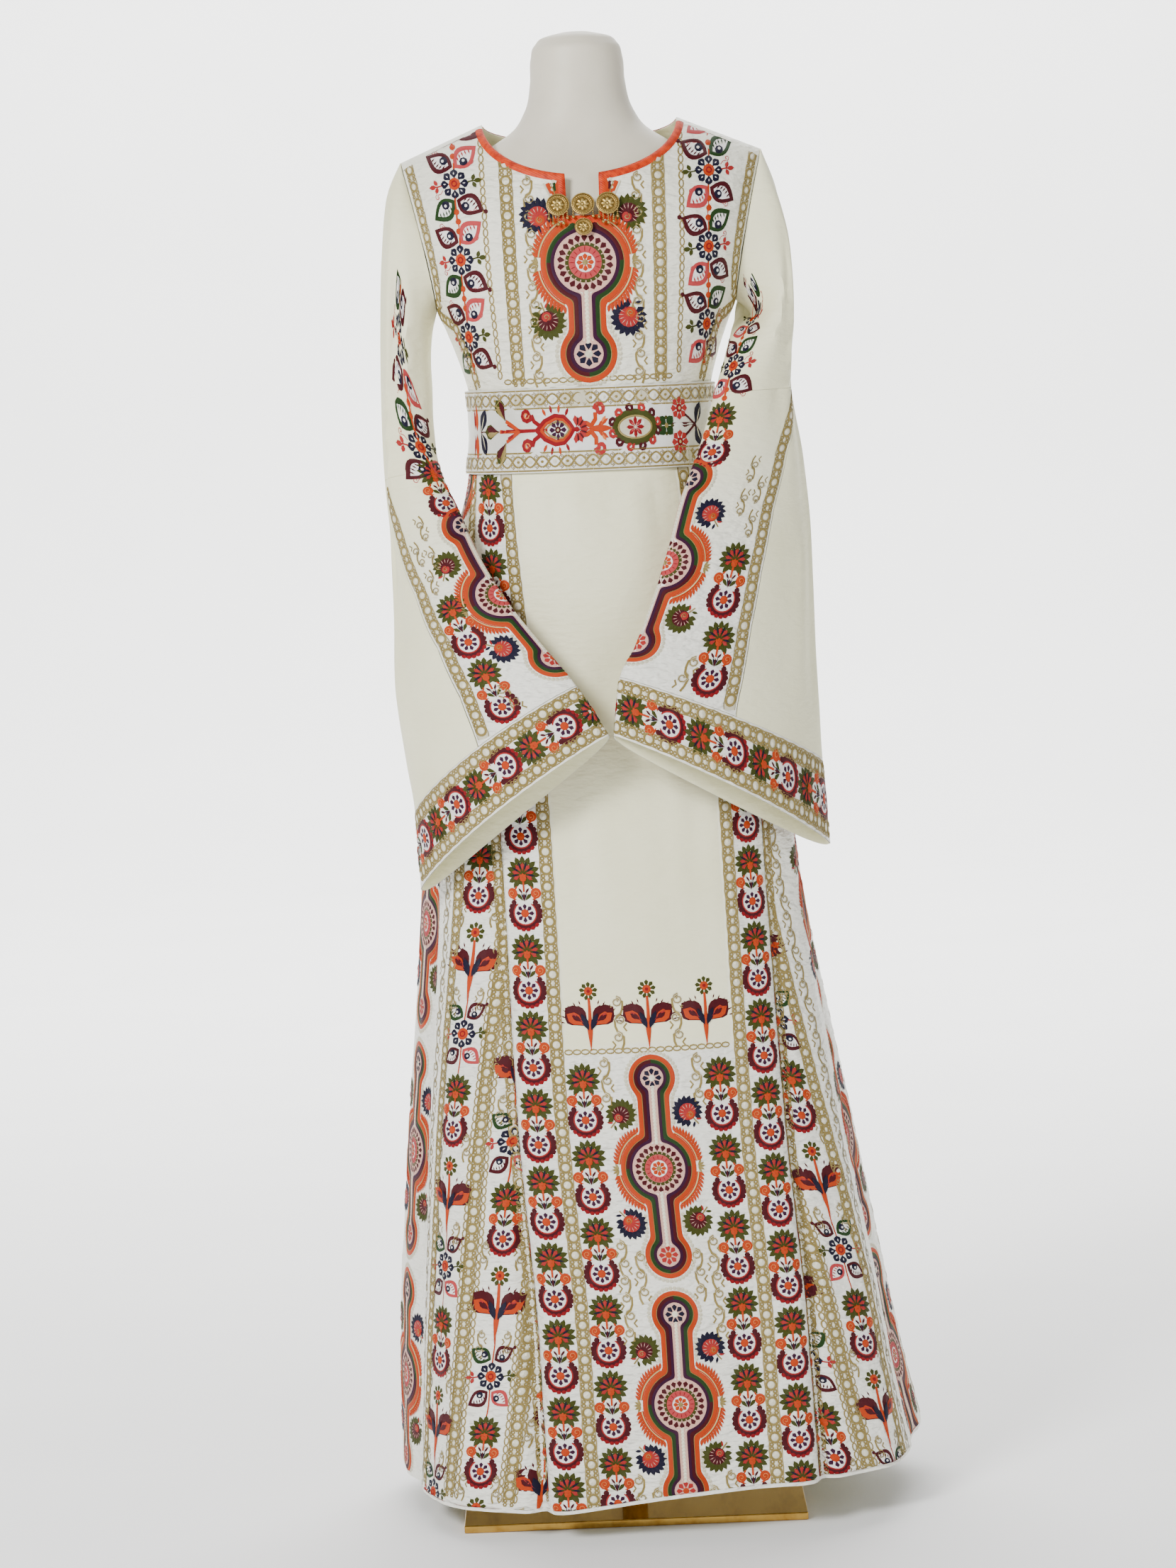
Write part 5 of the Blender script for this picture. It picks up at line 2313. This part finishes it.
def coin_height(share, turn):
    """Millimetres over a coin's back: a rim, a ring of beads and a rosette of eight petals."""
    rim = 0.75 * ramp((share - 0.89) / 0.03) * ramp((1.02 - share) / 0.04)
    beads = 0.5 * bump(share - 0.79, 0.05) * (0.5 + 0.5 * np.cos(28 * turn))
    line = 0.3 * bump(share - 0.67, 0.025)
    reach = 0.30 + 0.26 * np.abs(np.cos(4 * turn))
    petals = 0.6 * ramp((reach - share) / 0.10) * ramp((share - 0.12) / 0.06)
    return 1.0 + rim + beads + line + petals + 0.6 * ramp((0.11 - share) / 0.04)


def ball(middle, radius):
    """A small closed bead: points and faces."""
    turns = np.arange(8) / 8 * 2 * math.pi
    points, faces = [middle + np.array((0, 0, -radius))], []
    for lean in (-0.8, 0.0, 0.8):
        r, h = radius * math.cos(lean), radius * math.sin(lean)
        points += [middle + np.array((r * math.cos(a), r * math.sin(a), h)) for a in turns]
    points.append(middle + np.array((0, 0, radius)))
    for i in range(8):
        n = (i + 1) % 8
        faces += [(0, 1 + n, 1 + i), (25, 17 + i, 17 + n)]
        faces += [(1 + k * 8 + i, 1 + k * 8 + n, 9 + k * 8 + n, 9 + k * 8 + i) for k in (0, 1)]
    return points, faces


def coin(name, x, z, radius, strings):
    """A stamped coin with strings of beads: (turn at the rim from straight down, count, tag)."""
    place, normal = FRONT.surface(FRONT.angle_at(np.array(x), z), np.array(z))
    _, facing = FRONT.surface(np.array(0.0), np.array(COIN_Z))
    right = unit(np.cross((0, 0, 1), facing) * -1)
    right = right * np.sign(right[0])
    up = unit(np.cross(facing, right))
    up = up * np.sign(up[2])
    frame_axes = np.stack([right, up, facing])
    shares, turns = np.meshgrid(COIN_RINGS[1:], np.arange(COIN_SIDES) / COIN_SIDES * 2 * math.pi,
                                indexing="ij")
    heights = coin_height(shares, turns)
    face = np.stack([shares * radius * np.cos(turns), shares * radius * np.sin(turns),
                     heights / 1000], 2)
    back = face[-1].copy()
    back[:, 2] = 0.0
    points = [(0, 0, float(coin_height(np.array(0.0), np.array(0.0))) / 1000)]
    points += [tuple(p) for p in face.reshape(-1, 3)] + [tuple(p) for p in back]
    rings = len(COIN_RINGS) - 1
    low = [0.0] + (1 - ramp((heights - 1.0) / 0.35)).ravel().tolist() + [0.5] * COIN_SIDES
    number = 1 + np.arange((rings + 1) * COIN_SIDES).reshape(rings + 1, COIN_SIDES)
    after = np.roll(number, -1, axis=1)
    faces = [(0, int(a), int(b)) for a, b in zip(number[0], after[0])]
    faces += np.stack([number[:-1], number[1:], after[1:], after[:-1]], 2).reshape(-1, 4).tolist()
    faces.append(number[-1, ::-1].tolist())

    def bead(middle, size=BEAD_RADIUS):
        more, sides = ball(np.array(middle), size)
        start = len(points)
        points.extend(tuple(p) for p in more)
        low.extend([0.2] * len(more))
        faces.extend(tuple(i + start for i in side) for side in sides)

    for turn, count, tag in strings:
        angle = math.radians(turn - 90)
        x0, y0 = radius * math.cos(angle), radius * math.sin(angle)
        for i in range(count):
            bead((x0, y0 - 0.0006 - i * BEAD_PITCH, BEAD_RADIUS))
        if tag:
            bead((x0, y0 - 0.0012 - count * BEAD_PITCH, BEAD_RADIUS), BEAD_RADIUS * 1.9)
    laid = place + normal * COIN_BACK + np.array(points) @ frame_axes
    made = make_object(f"{name}_stamped", laid, [tuple(f) for f in faces], [BRASS], 50)
    add_values(made.data, "low", low)
    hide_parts(name)


def coins():
    """Three coins across the foot of the slit with strings of beads, and one that hangs below."""
    for name, place in (("coin_left", -1), ("coin_middle", 0), ("coin_right", 1)):
        strings = [(turn, 3 + (abs(turn) < 40), True) for turn in DANGLES]
        if place == 0:
            strings = [(-58, 3, True), (58, 3, True), (0, 1, False)]
        coin(name, place * COIN_PITCH, COIN_Z, COIN_RADIUS, strings)
    coin("coin_drop", 0.0, DROP_COIN_Z, DROP_COIN_RADIUS, ((180, 1, False),))


# ---------------------------------------------------------------- stage, lights and camera
CAMERA_PLACE = (-0.019, -4.5, 1.2)  # from the foot of the stand
CAMERA_PITCH, CAMERA_ROLL = -5.5, -2.35  # degrees
SENSOR_HEIGHT, LENS = 24.0, 65.1


def stage():
    """A pale floor that sweeps up into a backdrop."""
    half, top = 9.0, 6.0  # half width of the floor, height of the backdrop
    reach, bend = 5.6, 1.2  # where the sweep begins, behind any view of the object, and its radius
    depths = [(-half, 0.0), (reach, 0.0)]
    depths += [(reach + bend * math.sin(t), bend * (1 - math.cos(t)))
               for t in np.linspace(0.1, math.pi / 2, 12)]
    depths.append((reach + bend, top))
    points = np.array([(x, y, z - 0.0005) for y, z in depths for x in (-half, half)])
    faces = [(2 * i, 2 * i + 1, 2 * i + 3, 2 * i + 2) for i in range(len(depths) - 1)]
    mesh = bpy.data.meshes.new("floor")
    mesh.from_pydata(points.tolist(), [], faces)
    mesh.shade_smooth()
    m = Nodes("pale_floor")
    m.colour(m.ramp(m.noise(m.place(), 3.0), (0.3, linear(243, 243, 242)), (0.7, FLOOR)))
    m.set(Roughness=0.85)
    mesh.materials.append(m.material)
    floor = bpy.data.objects.new("floor", mesh)
    bpy.context.collection.objects.link(floor)


WORLD_LIGHT = 0.38


def area_light(name, place, target, size, power):
    data = bpy.data.lights.new(name, "AREA")
    data.shape = "RECTANGLE"
    data.size, data.size_y = size
    data.energy = power
    light = bpy.data.objects.new(name, data)
    bpy.context.collection.objects.link(light)
    light.location = place
    light.rotation_euler = (Vector(target) - Vector(place)).to_track_quat("-Z", "Y").to_euler()


def lights():
    area_light("key", (-2.2, -3.4, 3.0), (0, 0, 0.9), (1.2, 1.2), 240)
    area_light("fill", (2.8, -3.0, 1.8), (0, 0, 0.8), (2.4, 2.6), 48)
    area_light("back", (0.6, 2.4, 3.0), (0, 0, 1.0), (2.2, 1.6), 30)
    area_light("backdrop", (0.0, 3.0, 5.2), (0.0, 6.8, 1.2), (6.0, 1.6), 1150)
    world = bpy.data.worlds.new("studio")
    world.use_nodes = True
    world.node_tree.nodes["Background"].inputs["Color"].default_value = (1, 1, 1, 1)
    world.node_tree.nodes["Background"].inputs["Strength"].default_value = WORLD_LIGHT
    bpy.context.scene.world = world


def camera():
    data = bpy.data.cameras.new("camera")
    data.sensor_fit, data.sensor_height, data.lens = "VERTICAL", SENSOR_HEIGHT, LENS
    pitch, roll = math.radians(CAMERA_PITCH), math.radians(CAMERA_ROLL)
    forward = Vector((0, math.cos(pitch), math.sin(pitch)))
    right = Vector((1, 0, 0))
    up = right.cross(forward)
    across = right * math.cos(roll) + up * math.sin(roll)
    upward = up * math.cos(roll) - right * math.sin(roll)
    made = bpy.data.objects.new("camera", data)
    bpy.context.collection.objects.link(made)
    turn = made.matrix_world.copy()
    for i, column in enumerate((across, upward, -forward)):
        turn.col[i] = (*column, 0.0)
    turn.translation = Vector(CAMERA_PLACE) + Vector(AXIS)
    made.matrix_world = turn
    bpy.context.scene.camera = made


def garment():
    """Every piece of cloth with what is worked on it."""
    worked = {}
    for kind in ("front", "back"):
        cloth = skirt_panel(kind, panel_ground)
        thread = embroider(f"skirt_{kind}_embroidery", panel_stitches(), skirt_chart(kind))
        worked[cloth.name] = [thread]
    bands = dict(zip(("front", "back"), neck_bindings()))
    for kind, bodice in (("front", FRONT), ("back", BACK)):
        cloth = bodice_panel(f"bodice_{kind}", bodice)
        thread = embroider(f"bodice_{kind}_embroidery", bodice_stitches(bodice),
                           bodice_chart(bodice))
        worked[cloth.name] = [thread, bands[kind]]
    for side in ("left", "right"):
        sleeve = SLEEVE[side]
        top = float(np.interp(INSERT_TOP[side], sleeve.rows, sleeve.edge))
        head = float(np.interp(STRIP_HEAD[side], sleeve.rows, sleeve.edge))
        for cloth, name, stitches, chart in (
            (skirt_panel(side, all_white), "gore", gore_stitches(GORE_SHIFT[side]),
             skirt_chart(side)),
            (plain_sleeve(side), "sleeve", upper_sleeve_stitches(side),
             strip_chart(side, head, -strip_foot(side) / 1000)),
            (sleeve_insert(side), "insert", insert_stitches(side),
             sleeve_chart(side, top + 0.002, -0.002, insert_half(side))),
            (sleeve_cuff(side), "cuff", cuff_stitches(side),
             sleeve_chart(side, 0.001, sleeve.cuff_drop - 0.001)),
        ):
            worked[cloth.name] = [embroider(f"{name}_{side}_embroidery", stitches, chart)]
    belt = belt_band()
    thread = embroider("belt_embroidery", belt_stitches(), belt_chart)
    worked[belt.name] = [thread]
    return worked


camera()
stage()
lights()
garment()
coins()
stand()
